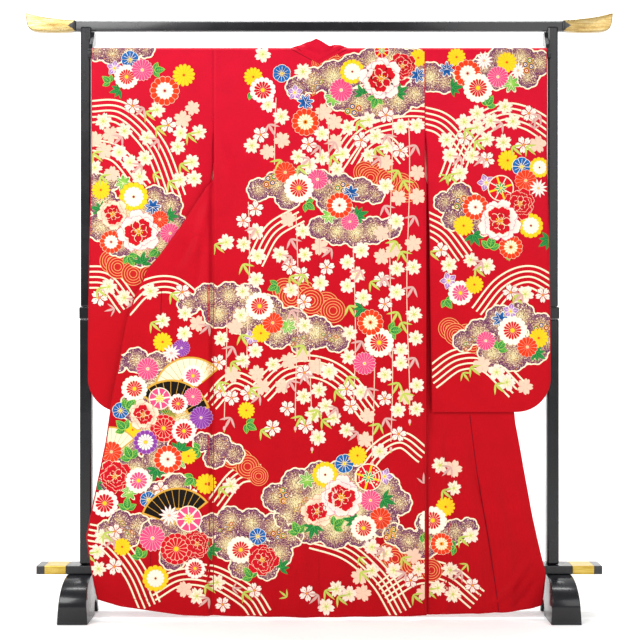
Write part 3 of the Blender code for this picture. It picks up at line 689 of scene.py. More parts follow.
def gridNormals(places, facing):
    # normals of a grid of points, on the side that "facing" points to
    normals = np.cross(np.gradient(places, axis=1), np.gradient(places, axis=0))
    normals /= np.maximum(np.linalg.norm(normals, axis=2, keepdims=True), 1e-12)
    agree = np.sign((normals * facing).sum(axis=2, keepdims=True))
    return normals * np.where(agree == 0, 1, agree)


def withCreases(places, area, facing, fade):
    # creases push the cloth towards the side that shows, along y
    moved = places.copy()
    moved[:, :, 1] += facing * creaseAt(area, places[:, :, 0], places[:, :, 2]) * fade
    return packed(moved, gridNormals(moved, np.array((0.0, facing, 0.0))))


def steps(low, high, size):
    return np.linspace(low, high, max(2, int(round((high - low) / size)) + 1))


def makeBack(word, side):
    across = np.unique(np.r_[steps(halfSeam, cloth["neckHalf"], 0.0055),
        steps(cloth["neckHalf"], bodyHalf - halfSeam, 0.0075)])
    length = layerR * math.pi / 2 + rodZ - cloth["hemZ"]
    shares = np.r_[0, 0.0006, 0.0015, 0.003, 0.0045, 0.006, 0.0075, 0.009, 0.0105, 0.012,
        steps(0.0165, 1, 0.005)]
    places = np.zeros((len(shares), len(across), 3))
    for i, share in enumerate(shares):
        for j, x in enumerate(across):
            start = float(neckStart(x))
            places[i, j] = downTheBack(side * x, start + (length - start) * share)
    fade = ramp(rodZ - places[:, :, 2], 0.10) * ramp(bodyHalf - np.abs(places[:, :, 0]), 0.02)
    grid = withCreases(places, "back", -1, fade)
    # over the rod the panel keeps the rod's own normals
    for i in range(len(shares)):
        for j in range(len(across)):
            y, z = places[i, j, 1], places[i, j, 2]
            if z > rodZ:
                grid[i][j] = (places[i, j], np.array((0.0, y, z - rodZ)) / layerR)
    return hang("back_" + word, grid, lining=1)


def frontGrid(side, low, high, levels, count):
    # the front's sections, with the creases of what shows on each side
    places, normals = unpacked([frontSection(side, z, low(z), high(z), count) for z in levels])
    beyond = np.abs(places[:, :, 0]) - bodyHalf
    area = "leftFlap" if side < 0 else "rightFlap"
    shown = creaseAt(area, places[:, :, 0], places[:, :, 2]) * ramp(beyond, 0.02)
    hung = creaseAt("hanging", places[:, :, 0], places[:, :, 2]) * ramp(-beyond, 0.06)
    hung *= ramp(rodZ - places[:, :, 2], 0.10)
    moved = places.copy()
    moved[:, :, 1] += hung - shown
    return packed(moved, gridNormals(moved, normals))


def makeFront(word, side):
    count = 64
    levels = np.unique(np.r_[steps(cloth["hemZ"], 1.22, cloth["level"]), steps(1.22, 1.30, 0.004),
        steps(1.30, rodZ, cloth["level"])])
    grid = frontGrid(side, lambda z: halfSeam, lambda z: min(cloth["frontWidth"], frontEdge(z)) - halfSeam,
        levels, count)
    for turn in np.linspace(math.pi / 2, halfSeam / layerR, 9)[1:]:
        y, z = overRod(1, turn)
        normal = np.array((0.0, -y, rodZ - z)) / layerR
        section = frontSection(side, z, halfSeam, frontEdge(z) - halfSeam, count)
        grid.append([(np.array((point[0], y, z)), normal) for point, _ in section])
    return hang("front_" + word, grid)


def makeOkumi(word, side):
    levels = steps(cloth["hemZ"], cloth["okumiTipZ"] - 0.012, cloth["level"])
    grid = frontGrid(side, lambda z: cloth["frontWidth"] + halfSeam, lambda z: frontEdge(z) - halfSeam,
        levels, 28)
    return hang("okumi_" + word, grid)


def makeSleeve(word, side, layer, name):
    bottom, corner = cloth["sleeveBottomZ"], cloth["sleeveCorner"]
    rounding = bottom + corner * (1 - np.cos(np.linspace(0, math.pi / 2, 16)))
    levels = np.r_[rounding, steps(bottom + corner, rodZ, cloth["level"])[1:]]
    places = []
    for z in levels:
        inner, outer = float(column(sleeveEdge, "inner", z)) + halfSeam, sleeveOuter(z)
        if layer > 0:
            # above the armhole's foot the sleeve's far layer hangs nearer to the body
            inner += (bodyHalf + 0.0006 + halfSeam - inner) * ramp(z - 1.257, 0.010)
        elif side < 0:
            inner += (bodyHalf + 0.0012 + halfSeam - inner) * ramp(z - 1.262, 0.06) * (z < 1.45)
        places.append([(side * x, layer * sleeveGap(x, z), z) for x in np.linspace(inner, outer, 44)])
    places = np.array(places)
    reach = np.abs(places[:, :, 0])
    fade = ramp(rodZ - places[:, :, 2], 0.10) * ramp(reach - reach.min(axis=1, keepdims=True), 0.03)
    fade *= ramp(places[:, :, 2] - bottom, 0.08)
    grid = withCreases(places, "sleeveLeft" if side < 0 else "sleeveRight", layer, fade)
    for turn in np.linspace(math.pi / 2, halfSeam / layerR, 9)[1:]:
        y, z = overRod(layer, turn)
        normal = np.array((0.0, y, z - rodZ)) / layerR
        grid.append([(np.array((x, y, z)), normal) for x in places[-1, :, 0]])
    return hang(f"sleeve_{word}_{name}", grid, lining=1)


def makeCollar():
    halves = []
    for side in (-1, 1):
        levels = np.r_[steps(cloth["okumiEndZ"], 1.22, cloth["level"]), steps(1.22, 1.30, 0.004)[1:],
            steps(1.30, 1.62, cloth["level"])[1:]]
        sections = []
        for z in levels:
            start = frontEdge(z) + halfSeam
            sections.append(frontSection(side, z, start, start + cloth["collarWidth"], 10))
        lift = (cloth["collarWall"] - cloth["wall"]) / 2 + 0.0001
        neck = []
        for degrees, *row in collarBack:
            turn = math.radians(degrees)
            seamX, *top = metres(row)[0]
            outward = np.array((0.0, math.sin(turn), math.cos(turn)))
            if degrees > -90:
                seam = np.array((seamX, 0.0, rodZ)) + outward * (layerR + lift)
            else:
                seam = np.array(downTheBack(seamX, float(neckStart(seamX)) - 0.0006, lift))
            line = np.array(top) - seam
            normal = -(outward - line * (outward @ line) / (line @ line))
            normal /= np.linalg.norm(normal)
            neck.append([(seam + line * share, normal)
                for share in np.r_[0, 0.05, np.linspace(0.15, 0.85, 6), 0.95, 1]])
        # the neck's sections are joined by a smooth curve
        control = np.array([[np.r_[point, normal] for point, normal in section] for section in neck])
        for i in range(len(control) - 1):
            four = [control[min(max(k, 0), len(control) - 1)] for k in range(i - 1, i + 3)]
            for t in np.arange(4) / 4:
                mixed = curved(*four, t)
                sections.append([(cell[:3], cell[3:] / np.linalg.norm(cell[3:])) for cell in mixed])
        sections.append([(cell[:3], cell[3:]) for cell in control[-1]])
        if side < 0:
            flip = np.array((-1, 1, 1))
            neck = [[(point * flip, normal * flip) for point, normal in row]
                for row in sections[len(levels):]]
            sections = sections[:len(levels)] + neck
        halves.append(sections)
    grid = halves[0] + halves[1][-2::-1]
    # the band's top edge dips unevenly beside its peak, and the band is creased along its middle
    for row in grid[len(levels):-len(levels)]:
        for k, (point, normal) in enumerate(row):
            share = k / (len(row) - 1)
            dip = column(collarDips, "dip", point[0], "x")
            furrow = 0.0042 * math.exp(-(((share - 0.52) / 0.09) ** 2))
            furrow -= 0.0022 * math.exp(-(((share - 0.30) / 0.10) ** 2))
            point += (0.0, furrow, -float(dip) * share)
    return hang("collar", grid, cloth["collarWall"])


panels = {}
for word, side in sides:
    panels["back_" + word] = makeBack(word, side)
    panels["front_" + word] = makeFront(word, side)
    panels["okumi_" + word] = makeOkumi(word, side)
    for layer, name in ((-1, "back"), (1, "front")):
        panels[f"sleeve_{word}_{name}"] = makeSleeve(word, side, layer, name)
panels["collar"] = makeCollar()
print("cloth made")


# the dyed pattern: flat shapes drawn in metres, cut to each panel and laid on its face

dyes = {
    "white": "#F2EBDA", "cream": "#F6E6C4", "blush": "#F9DCD0", "beige": "#F1BCA8", "shell": "#F0C6AC",
    "straw": "#E9E6A0", "pink": "#F291AC", "rose": "#E44A7C", "red": "#CF0F20", "orange": "#E03A18",
    "deepRed": "#A00A1C", "paintedSeamShade": "#6E0414", "yellow": "#F8CB1E", "amber": "#EE9A20", "gold": "#D9A33C",
    "leaf": "#17713A", "grass": "#3F9E45", "lime": "#9CCB4E", "moss": "#BCC95A", "mauve": "#D6A79E",
    "blue": "#1C6CB4", "navy": "#123A78", "violet": "#8A3C9C", "scarlet": "#C4201E", "ochre": "#E8A868",
    "lilac": "#D2AEE0", "black": "#17120F",
}
dyes = {name: np.array(toLinear(code)) for name, code in dyes.items()}
layup = {"base": 0.00030, "motifStep": 0.00011, "shapeStep": 0.00003, "longestEdge": 0.0108,
    "shoulderEdge": 0.0038, "cell": 0.0060}


class Sketch:
    # triangles with a dye at each corner, and the level each lies at within its motif
    def __init__(self):
        self.corners, self.colours, self.levels = [], [], []

    def shape(self, outline, dye, level, reach=1.0):
        # "dye" is one dye, or two that blend outwards from the motif's middle
        outline = np.asarray(outline, float)
        middle = np.broadcast_to(outline.mean(axis=0), outline.shape)
        fan = np.stack([middle, outline, np.roll(outline, -1, axis=0)], 1)
        inner, outer = (dyes[name] for name in (dye if isinstance(dye, tuple) else (dye, dye)))
        share = np.clip(np.linalg.norm(fan, axis=2, keepdims=True) / reach, 0, 1)
        self.corners.append(fan)
        self.colours.append(inner + (outer - inner) * share)
        self.levels.append(np.full(len(fan), float(level)))

    def rim(self, outline, inner, dye, level):
        # the band between two outlines of as many points
        ahead, innerAhead = np.roll(outline, -1, axis=0), np.roll(inner, -1, axis=0)
        band = np.concatenate([np.stack([outline, ahead, innerAhead], 1),
            np.stack([outline, innerAhead, inner], 1)])
        self.corners.append(band)
        self.colours.append(np.broadcast_to(dyes[dye], band.shape[:2] + (3,)))
        self.levels.append(np.full(len(band), float(level)))

    def join(self, other, place, size, turn, raised):
        corners, colours, levels = other.arrays()
        self.corners.append(turned(corners, turn, size) + np.array(place))
        self.colours.append(colours)
        self.levels.append(levels + raised)

    def arrays(self):
        return np.concatenate(self.corners), np.concatenate(self.colours), np.concatenate(self.levels)


def disc(radius, count=14, middle=(0, 0)):
    turns = np.arange(count) * 2 * math.pi / count
    return np.stack([middle[0] + radius * np.cos(turns), middle[1] + radius * np.sin(turns)], 1)


def bar(start, end, width):
    start, end = np.array(start, float), np.array(end, float)
    along = (end - start) / np.linalg.norm(end - start)
    side = np.array((-along[1], along[0])) * width / 2
    return np.array([start - side, end - side, end + side, start + side])


def petalOutline(inner, outer, count, tip):
    # one petal up the y axis, which keeps to its share of the circle
    spread = math.tan(math.pi / count) * {"pointed": 1.0, "notched": 0.97}.get(tip, 1.06)
    shoulder = inner + (outer - inner) * {"round": 0.72, "notched": 0.48, "pointed": 0.45, "ruffled": 0.66,
        "narrow": 0.80}[tip]
    half = shoulder * spread
    body = [(inner * spread, inner)]
    if tip == "pointed":
        crown = [(half * (1 - u) ** 0.75, shoulder + (outer - shoulder) * u)
            for u in (0, 0.2, 0.45, 0.75)] + [(0, outer)]
    else:
        squared = 0.6 if tip == "notched" else 1.0
        turns = np.radians((0, 22, 44, 62, 78) if count < 9 else (0, 35, 66))
        crown = [(half * math.cos(t) ** squared, shoulder + (outer - shoulder) * math.sin(t))
            for t in turns]
        crown.append((0, outer))
        if tip == "notched":
            crown[-1], crown[-2] = (0, outer - 0.15), (crown[-2][0], outer)
        if tip == "ruffled":
            crown = [(x, z - 0.035 * (1 + math.cos(2.5 * math.pi * (1 - x / half)))) for x, z in crown]
    right = body + crown
    return np.array(right + [(-x, z) for x, z in right[-2::-1]])


def turned(points, turn, size=1.0):
    c, s = math.cos(turn) * size, math.sin(turn) * size
    return np.asarray(points) @ np.array([[c, s], [-s, c]])


def shrunk(points, by):
    middle = points.mean(axis=0)
    reach = np.linalg.norm(points - middle, axis=1, keepdims=True)
    return middle + (points - middle) * np.maximum(0.15, 1 - by / np.maximum(reach, 1e-6))


def petalRing(sketch, count, inner, outer, tip, edge, fill, level, line=0.045, turn=0.0, uneven=0.0):
    for k in range(count):
        outline = petalOutline(inner, outer * (1 + uneven * math.sin(2.4 * k + 3 * outer)), count, tip)
        angle = turn + (2 * math.pi * k + uneven * 4 * math.sin(1.7 * k + outer)) / count
        sketch.rim(turned(outline, angle), turned(shrunk(outline, line * 1.6), angle), edge, level)
        sketch.shape(turned(shrunk(outline, line), angle), fill, level + 1, outer)


def stamens(sketch, count, reach, dye, dot, level, turn=0.2):
    for k in range(count):
        angle = turn + 2 * math.pi * k / count
        tip = np.array((math.cos(angle), math.sin(angle))) * reach
        sketch.shape(bar(tip * 0.25, tip, 0.035), dye, level)
        sketch.shape(disc(dot, 6, tip), dye, level)


def cherry(petals, rings, anthers, heart):
    # notched petals in one ring or two, stamens and a heart
    sketch = Sketch()
    for k, ring in enumerate(rings):
        inner, outer, edge, fill, line, turn = ring
        petalRing(sketch, petals, inner, outer, "notched", edge, fill, 2 * k, line, turn)
    level = 2 * len(rings)
    if anthers:
        stamens(sketch, *anthers, level)
        level += 1
    size, dye = heart
    sketch.shape(disc(size, 8), dye, level)
    return sketch


def mum(outer, outerEdge, inner, innerEdge, heart, petals=16, tip="round", size=0.70, dotted=True):
    # a chrysanthemum of two rings round a button
    sketch = Sketch()
    sketch.shape(disc(0.80, 20), outer, 0)
    petalRing(sketch, petals, 0.45, 1.0, tip, outerEdge, outer, 1, 0.022)
    sketch.shape(disc(size * 0.88, 20), innerEdge, 3)
    petalRing(sketch, petals, 0.14, size, tip, innerEdge, inner, 4, 0.026, math.pi / petals)
    if dotted:
        sketch.shape(disc(0.17), "gold", 6)
        sketch.shape(disc(0.13), heart, 7)
    else:
        sketch.shape(disc(0.09), heart, 6)
    return sketch


def starMum(outer, edge, petals, heart, tip="narrow"):
    # one ring of fine petals
    sketch = Sketch()
    petalRing(sketch, petals, 0.12, 1.0, tip, edge, outer, 0, 0.026)
    sketch.shape(disc(0.13), edge, 2)
    sketch.shape(disc(0.09), heart, 3)
    return sketch


def peony(outer, edge, middle, inner, gold="yellow"):
    sketch = Sketch()
    petalRing(sketch, 8, 0.25, 0.95, "ruffled", edge, outer, 0, 0.020, 0.0, 0.09)
    petalRing(sketch, 7, 0.18, 0.78, "ruffled", edge, middle, 2, 0.018, 0.3, 0.11)
    petalRing(sketch, 6, 0.12, 0.60, "ruffled", "cream", inner, 4, 0.020, 0.1, 0.15)
    petalRing(sketch, 5, 0.08, 0.40, "notched", "cream", inner, 6, 0.022, 0.5, 0.14)
    for k in range(9):
        sketch.shape(disc(0.032, 5, turned([(0.13 + 0.03 * (k % 2), 0)], k * 0.7)[0]), gold, 8)
    sketch.shape(disc(0.075, 8), "amber", 8)
    return sketch


def broadFlower(outer, edge, petals, tip, heart):
    # camellias and bellflowers: a few broad petals, each with a vein
    sketch = Sketch()
    petalRing(sketch, petals, 0.12, 1.0, tip, edge, outer, 0, 0.055)
    for k in range(petals):
        sketch.shape(turned(bar((0, 0.2), (0, 0.78), 0.035), 2 * math.pi * k / petals), edge, 2)
    stamens(sketch, 8, 0.30, heart, 0.05, 3)
    sketch.shape(disc(0.15, 8), heart, 3)
    return sketch


def singleLeaf(fill, edge, length=1.0, width=0.42):
    sketch = Sketch()
    share = np.linspace(0, 1, 8)
    half = width / 2 * np.sin(math.pi * share**0.8) ** 0.9
    outline = np.array([*zip(half, share * length), *zip(-half[-2:0:-1], share[-2:0:-1] * length)])
    sketch.rim(outline, shrunk(outline, 0.08), edge, 0)
    sketch.shape(shrunk(outline, 0.045), fill, 1, length)
    sketch.shape(bar((0, 0.05 * length), (0, 0.92 * length), 0.03), edge, 2)
    for k in range(1, 5):
        z = length * (0.12 + 0.16 * k)
        away = width * 0.30 * math.sin(math.pi * (z / length) ** 0.8)
        for side in (-1, 1):
            sketch.shape(bar((0, z), (side * away, z + 0.11 * length), 0.020), edge, 2)
    return sketch


def leafSpray(fill, edge, count=3, spread=1.05, width=0.62):
    sketch = Sketch()
    for k in range(count):
        middle = k == count // 2
        turn = (k - (count - 1) / 2) * spread
        size = 1.35 if middle else 1.1
        sketch.join(singleLeaf(fill, edge, 1.0, width), (0, -0.45), size, turn, 3 * middle)
    return sketch


def maple(fill, edge):
    sketch = Sketch()
    turns = np.radians(np.arange(0, 360, 6))
    lobes = 0.52 + 0.48 * np.abs(np.cos(3.5 * (turns - math.pi / 2))) ** 1.5
    outline = np.stack([lobes * np.cos(turns), lobes * np.sin(turns)], 1)
    sketch.shape(outline, edge, 0)
    sketch.shape(outline * 0.87, fill, 1)
    for k in range(-2, 3):
        angle = math.pi / 2 + k * 2 * math.pi / 7
        sketch.shape(bar((0, 0), (0.78 * math.cos(angle), 0.78 * math.sin(angle)), 0.035), edge, 2)
    return sketch


def threadBall(ground, band, star):
    # a ball wound with thread: bands cross its middle
    sketch = Sketch()
    sketch.shape(disc(1.0, 24), "cream", 0)
    sketch.shape(disc(0.92, 24), ground, 1)
    for k, dye in enumerate((band, "white", band, "white")):
        angle = math.pi * k / 4 + 0.2
        reach = np.array((math.cos(angle), math.sin(angle))) * 0.90
        sketch.shape(bar(-reach, reach, 0.14 if k % 2 == 0 else 0.07), dye, 2 + k)
    petalRing(sketch, 8, 0.06, 0.50, "pointed", "cream", star, 6, 0.035)
    sketch.shape(disc(0.10, 8), "yellow", 8)
    return sketch


def foldingFan(ground, rim, ribs):
    # the leaf of a fan opened to two thirds, with its folds
    sketch = Sketch()
    first, last = math.radians(28), math.radians(152)
    for lowR, highR, dye, level in ((0.42, 1.0, rim, 0), (0.47, 0.95, ground, 1)):
        turns = np.linspace(first, last, 15) if level == 0 else np.linspace(first + 0.05, last - 0.05, 15)
        for a, b in zip(turns, turns[1:]):
            sketch.shape([(lowR * math.cos(a), lowR * math.sin(a)),
                (highR * math.cos(a), highR * math.sin(a)), (highR * math.cos(b), highR * math.sin(b)),
                (lowR * math.cos(b), lowR * math.sin(b))], dye, level)
    for t in np.linspace(first + 0.05, last - 0.05, ribs):
        reach = np.array((math.cos(t), math.sin(t)))
        sketch.shape(bar(reach * 0.05, reach * 0.95, 0.012), rim, 2)
    return sketch


def latticePatch(kind):
    # a few diamonds or hexagons of woven brocade
    sketch = Sketch()
    if kind == "diamonds":
        edges, stretch = 4, np.array((1.0, 0.62))
        spots = [(0, 0), (1.05, 0), (-1.05, 0), (0.52, 0.62), (-0.52, 0.62)]
    else:
        edges, stretch = 6, np.array((1.0, 1.0))
        spots = [(0, 0), (0.92, 0.53), (-0.92, 0.53), (0, 1.06)]
    for k, spot in enumerate(spots):
        for radius, dye, level in ((0.58, "gold", 0), (0.46, ("navy", "leaf", "deepRed")[k % 3], 1),
                (0.26, "cream", 2), (0.13, "red", 3)):
            sketch.shape(disc(radius, edges) * stretch + np.array(spot), dye, level)
    return sketch


def wave():
    # rings of two dyes, all at one level
    sketch = Sketch()
    radii = (1.0, 0.95, 0.78, 0.73, 0.56, 0.51, 0.34, 0.29)
    for k, (outer, inner) in enumerate(zip(radii, radii[1:])):
        sketch.rim(disc(outer, 26), disc(inner, 26), ("ochre", "scarlet")[k % 2], 0)
    sketch.shape(disc(radii[-1], 26), "scarlet", 0)
    return sketch


def bud():
    sketch = Sketch()
    sketch.shape(disc(0.5, 10) * np.array((0.62, 1.0)), "pink", 0)
    sketch.shape(disc(0.4, 10) * np.array((0.55, 1.0)), "beige", 1)
    sketch.shape(bar((0, 0.35), (0, 0.75), 0.2), "moss", 2)
    return sketch


motifs = {
    "plain": cherry(5, [(0.10, 1.0, "shell", "shell", 0.05, 0.0)], None, (0.16, "shell")),
    "white": cherry(5, [(0.10, 1.0, "deepRed", ("white", "blush"), 0.055, 0.0)], (10, 0.50, "red", 0.045),
        (0.13, "amber")),
    "gold": cherry(5, [(0.10, 1.0, "blush", ("cream", "blush"), 0.04, 0.0),
        (0.08, 0.62, "beige", ("straw", "cream"), 0.035, math.pi / 5)], (8, 0.36, "moss", 0.04),
        (0.14, "moss")),
    "double": cherry(6, [(0.10, 1.0, "mauve", ("straw", "blush"), 0.040, 0.0),
        (0.08, 0.72, "beige", ("straw", "white"), 0.035, 0.5)], (7, 0.38, "gold", 0.04), (0.16, "moss")),
    "snowRing": mum("white", "cream", "red", "cream", "yellow", size=0.64),
    "redRing": mum("orange", "cream", "white", "shell", "deepRed", 14, size=0.60, dotted=False),
    "rosy": starMum("rose", "blush", 18, "yellow"),
    "goldRing": mum("yellow", "amber", "white", "cream", "deepRed", 14, size=0.68, dotted=False),
    "pinkRing": mum("white", "cream", "rose", "white", "yellow", 14),
    "snowRose": mum("white", "pink", "red", "white", "yellow", 14),
    "yellow": starMum("yellow", "amber", 14, "orange", "round"),
    "ember": starMum("orange", "shell", 14, "yellow"),
    "whiteStar": starMum("white", "pink", 12, "yellow", "pointed"),
    "violetMum": starMum("violet", "lilac", 18, "yellow"),
    "violetRing": mum("violet", "lilac", "white", "violet", "yellow", 14),
    "crimsonMum": mum("red", "cream", "red", "cream", "yellow", 14, "narrow", 0.74),
    "emberRing": mum("orange", "cream", "cream", "amber", "deepRed", 14, size=0.60, dotted=False),
    "peony": peony(("pink", "white"), "rose", ("pink", "white"), ("deepRed", "red")),
    "creamPeony": peony(("red", "cream"), "red", ("red", "cream"), ("deepRed", "red")),
    "redPeony": peony(("deepRed", "red"), "cream", ("deepRed", "red"), ("deepRed", "red")),
    "camellia": broadFlower(("navy", "blue"), "white", 6, "round", "yellow"),
    "bell": broadFlower(("lilac", "violet"), "white", 5, "pointed", "yellow"),
    "leaves": leafSpray(("leaf", "grass"), "lime"), "darkLeaves": leafSpray("leaf", "grass", 5, 0.70, 0.36),
    "slender": leafSpray("moss", "moss", 3, 0.85, 0.20),
    "slenderMauve": leafSpray("mauve", "mauve", 3, 0.85, 0.20),
    "blueMaple": maple(("navy", "blue"), "white"), "greenMaple": maple(("lime", "grass"), "cream"),
    "ball": threadBall("red", "yellow", "grass"), "pinkBall": threadBall("rose", "white", "yellow"),
    "creamFan": foldingFan("cream", "gold", 11), "blackFan": foldingFan("black", "gold", 11),
    "diamonds": latticePatch("diamonds"), "hexagons": latticePatch("hexagons"), "bud": bud(),
    "wave": wave(),
}
print("motifs drawn")


# triangles on their way to a panel. Each corner's columns are x, z, level, red, green, blue and inward, and
# each triangle has a material's number, its kind.

def splitLong(corners, kinds):
    # long triangles are quartered, so that they follow the cloth's folds
    while True:
        edges = np.linalg.norm(corners[:, :, :2] - np.roll(corners[:, :, :2], -1, axis=1),
            axis=2).max(axis=1)
        limit = np.where(corners[:, :, 1].max(axis=1) > rodZ - 0.002, layup["shoulderEdge"],
            layup["longestEdge"])
        long = edges > limit
        if not long.any():
            return corners, kinds
        a, b, c = (corners[long, k] for k in range(3))
        ab, bc, ca = (a + b) / 2, (b + c) / 2, (c + a) / 2
        parts = [np.stack(part, 1) for part in ((a, ab, ca), (ab, b, bc), (ca, bc, c), (ab, bc, ca))]
        corners = np.concatenate([corners[~long], *parts])
        kinds = np.concatenate([kinds[~long], np.tile(kinds[long], 4)])


def cutTo(corners, kinds, field):
    # keeps what lies where field(x, z) is above nought, cutting the triangles on its edge
    value = field(corners[:, :, 0], corners[:, :, 1])
    inside = value >= 0
    count = inside.sum(axis=1)
    kept, keptKinds = [corners[count == 3]], [kinds[count == 3]]
    for wanted in (1, 2):
        chosen = count == wanted
        part, height, within, kind = corners[chosen], value[chosen], inside[chosen], kinds[chosen]
        lone = np.argmax(within if wanted == 1 else ~within, axis=1)
        rows = np.arange(len(part))
        order = (lone[:, None] + np.arange(3)) % 3
        part, height = part[rows[:, None], order], height[rows[:, None], order]
        a, b, c = part[:, 0], part[:, 1], part[:, 2]
        ab = a + (b - a) * (height[:, 0] / (height[:, 0] - height[:, 1]))[:, None]
        ac = a + (c - a) * (height[:, 0] / (height[:, 0] - height[:, 2]))[:, None]
        if wanted == 1:
            kept.append(np.stack([a, ab, ac], 1))
            keptKinds.append(kind)
        else:
            kept += [np.stack([ab, b, c], 1), np.stack([ab, c, ac], 1)]
            keptKinds += [kind, kind]
    return np.concatenate(kept), np.concatenate(keptKinds)


brush = {
    "rippleStep": 0.0155, "rippleWidth": 0.0050, "stemWidth": 0.0026, "stemLift": 0.00032,
    "rimWidth": 0.0042, "rimLift": 0.00028, "groundFrom": 0.0036, "groundLift": 0.00025, "lobe": 0.027,
    "lobeDepth": 0.0038, "cloudDepth": 0.05, "finePoints": 14,
}


def withColumns(corners, colours, levels):
    columns = [corners, np.broadcast_to(levels[:, None, None], (len(corners), 3, 1)), colours,
        np.zeros((len(corners), 3, 1))]
    return np.concatenate(columns, axis=2)


def oneDye(corners, dye, level, kind=0):
    count = len(corners)
    colours = np.broadcast_to(dyes[dye], (count, 3, 3))
    return withColumns(corners, colours, np.full(count, level)), np.full(count, kind)


def cloudField(discs):
    # depth into a cloud, whose rim runs in small lobes
    def field(x, z):
        depths = []
        for cx, cz, radius in discs:
            lobes = round(2 * math.pi * radius / brush["lobe"])
            lobe = brush["lobeDepth"] * (np.abs(np.cos(np.arctan2(z - cz, x - cx) * lobes / 2)) - 0.6)
            depths.append(radius + lobe - np.hypot(x - cx, z - cz))
        return np.max(depths, axis=0)
    return field


def cellsOver(discs, size):
    # a net of triangles that covers the discs
    places = np.array([disc[:2] for disc in discs])
    reach = max(disc[2] for disc in discs) + size
    low, high = places.min(axis=0) - reach, places.max(axis=0) + reach
    x, z = (part.ravel() for part in np.meshgrid(*(np.arange(*ends, size) for ends in zip(low, high))))
    a, b, c, d = (np.stack([x, z], 1) + np.array(step) * size for step in ((0, 0), (1, 0), (1, 1), (0, 1)))
    return np.concatenate([np.stack([a, b, c], 1), np.stack([a, c, d], 1)])


def banded(discs, low, high, level, kind):
    # the part of a cloud between two depths from its edge
    field = cloudField(discs)
    corners, kinds = oneDye(cellsOver(discs, layup["cell"]), "cream", level, kind)
    corners, kinds = cutTo(corners, kinds, lambda x, z: field(x, z) - low)
    if high is not None:
        corners, kinds = cutTo(corners, kinds, lambda x, z: high - field(x, z))
    corners[:, :, 6] = np.clip(field(corners[:, :, 0], corners[:, :, 1]) / brush["cloudDepth"], 0, 1)
    return corners, kinds


def sideways(line):
    run = np.gradient(line, axis=0)
    return np.stack([-run[:, 1], run[:, 0]], 1) / np.linalg.norm(run, axis=1, keepdims=True)


def ribbon(line, width, dye, level=0.0):
    side = sideways(line) * width / 2
    low, high = line - side, line + side
    return oneDye(np.concatenate([np.stack([low[:-1], low[1:], high[1:]], 1),
        np.stack([low[:-1], high[1:], high[:-1]], 1)]), dye, level)


def placed(kind, x, z, size, turn, level):
    corners, colours, levels = motifs[kind].arrays()
    corners = turned(corners, turn, size) + np.array((x, z))
    heights = level * layup["motifStep"] + (levels + 1) * layup["shapeStep"]
    return withColumns(corners, colours, heights), np.zeros(len(corners), int)


# what lies on the ground, in drawing order: each gives its parts

def clouds(*rows):
    discs = metres(*rows)
    return [banded(discs, 0.0, brush["rimWidth"], brush["rimLift"], 0),
        banded(discs, brush["groundFrom"], None, brush["groundLift"], 1)]


def scales(*rows):
    # overlapping waves, like a fish's scales
    discs = [(x + row * 0.55 * r, z - row * 0.5 * r, r) for row in (0, 1) for x, z, r in metres(*rows)]
    return [placed("wave", x, z, r, 0.0, 0.15 * k) for k, (x, z, r) in enumerate(discs)]


def ripples(lines, *points):
    line = np.array(smoothLine(metres(*points), brush["finePoints"]))
    offsets = ((k - (lines - 1) / 2) * brush["rippleStep"] for k in range(lines))
    return [ribbon(line + sideways(line) * offset, brush["rippleWidth"], "cream") for offset in offsets]


def seam(width, points):
    # a dark line along a seam: painted shade where the seam's fold darkens the cloth
    return [ribbon(np.array(smoothLine(points, brush["finePoints"])), width, "paintedSeamShade")]


# what grows between the big flowers: each is drawn later, when it is known what is taken

def clear(x, z, taken, share, room):
    return all(math.hypot(x - tx, z - tz) > share * tr + room for tx, tz, tr in taken)


def spray(x, top, foot, seed):
    # a hanging stem: blossoms to both sides, slender leaves between
    x, top, foot = metres((x, top, foot))[0]

    def draw(taken):
        random = np.random.default_rng(seed)
        zs = np.arange(top, foot, -0.012)
        sway = x + 0.004 * np.sin(zs * 9 + seed)
        flowers = []
        for k, z in enumerate(np.arange(top - 0.02, foot, -0.034)):
            side = 1 if (k + seed) % 2 else -1
            stem = float(np.interp(-z, -zs, sway))
            if k % 3 == 2:
                flowers.append((("slender", "slenderMauve")[k % 6 == 2], stem + side * 0.012, z, 0.031,
                    math.pi - side * 0.5))
                continue
            blossom = ("white", "double", "plain", "gold")[int(random.integers(0, 4))]
            away = stem + side * (0.016 + 0.008 * random.random())
            if clear(away, z, taken, 0.75, 0.016):
                flowers.append((blossom, away, z, 0.0225 + 0.003 * random.random()))
                taken.append((away, z, 0.022))
        flowers.append(("bud", float(sway[-1]), foot - 0.012, 0.014, math.pi))
        return [ribbon(np.stack([sway, zs], 1), brush["stemWidth"], "shell", brush["stemLift"])], flowers
    return draw


def scatter(x, z, across, up, count, seed):
    # loose blossoms in an oval, every second one with a leaf
    middleX, middleZ, across, up = metres((x, z, across, up))[0]

    def draw(taken):
        random = np.random.default_rng(seed)
        done, flowers = 0, []
        for _ in range(400):
            angle, share = random.random() * 2 * math.pi, math.sqrt(random.random())
            x, z = middleX + across * share * math.cos(angle), middleZ + up * share * math.sin(angle)
            if done < count and clear(x, z, taken, 0.8, 0.021):
                kind = ("white", "double", "gold", "plain", "double")[int(random.integers(0, 5))]
                if done % 2 == 0:
                    away = 0.024 if done % 4 else -0.024
                    flowers.append((("slender", "slenderMauve")[done % 4 // 2], x + away, z - 0.014, 0.029,
                        math.pi - away * 35))
                flowers.append((kind, x, z, 0.0225 + 0.0035 * random.random()))
                taken.append((x, z, 0.023))
                done += 1
        return [], flowers
    return draw


# where the pattern lies: groups of motifs, each for the faces it is dyed on. Places are x and z on the hung
# garment, and a motif's last number is its radius, all in millimetres.

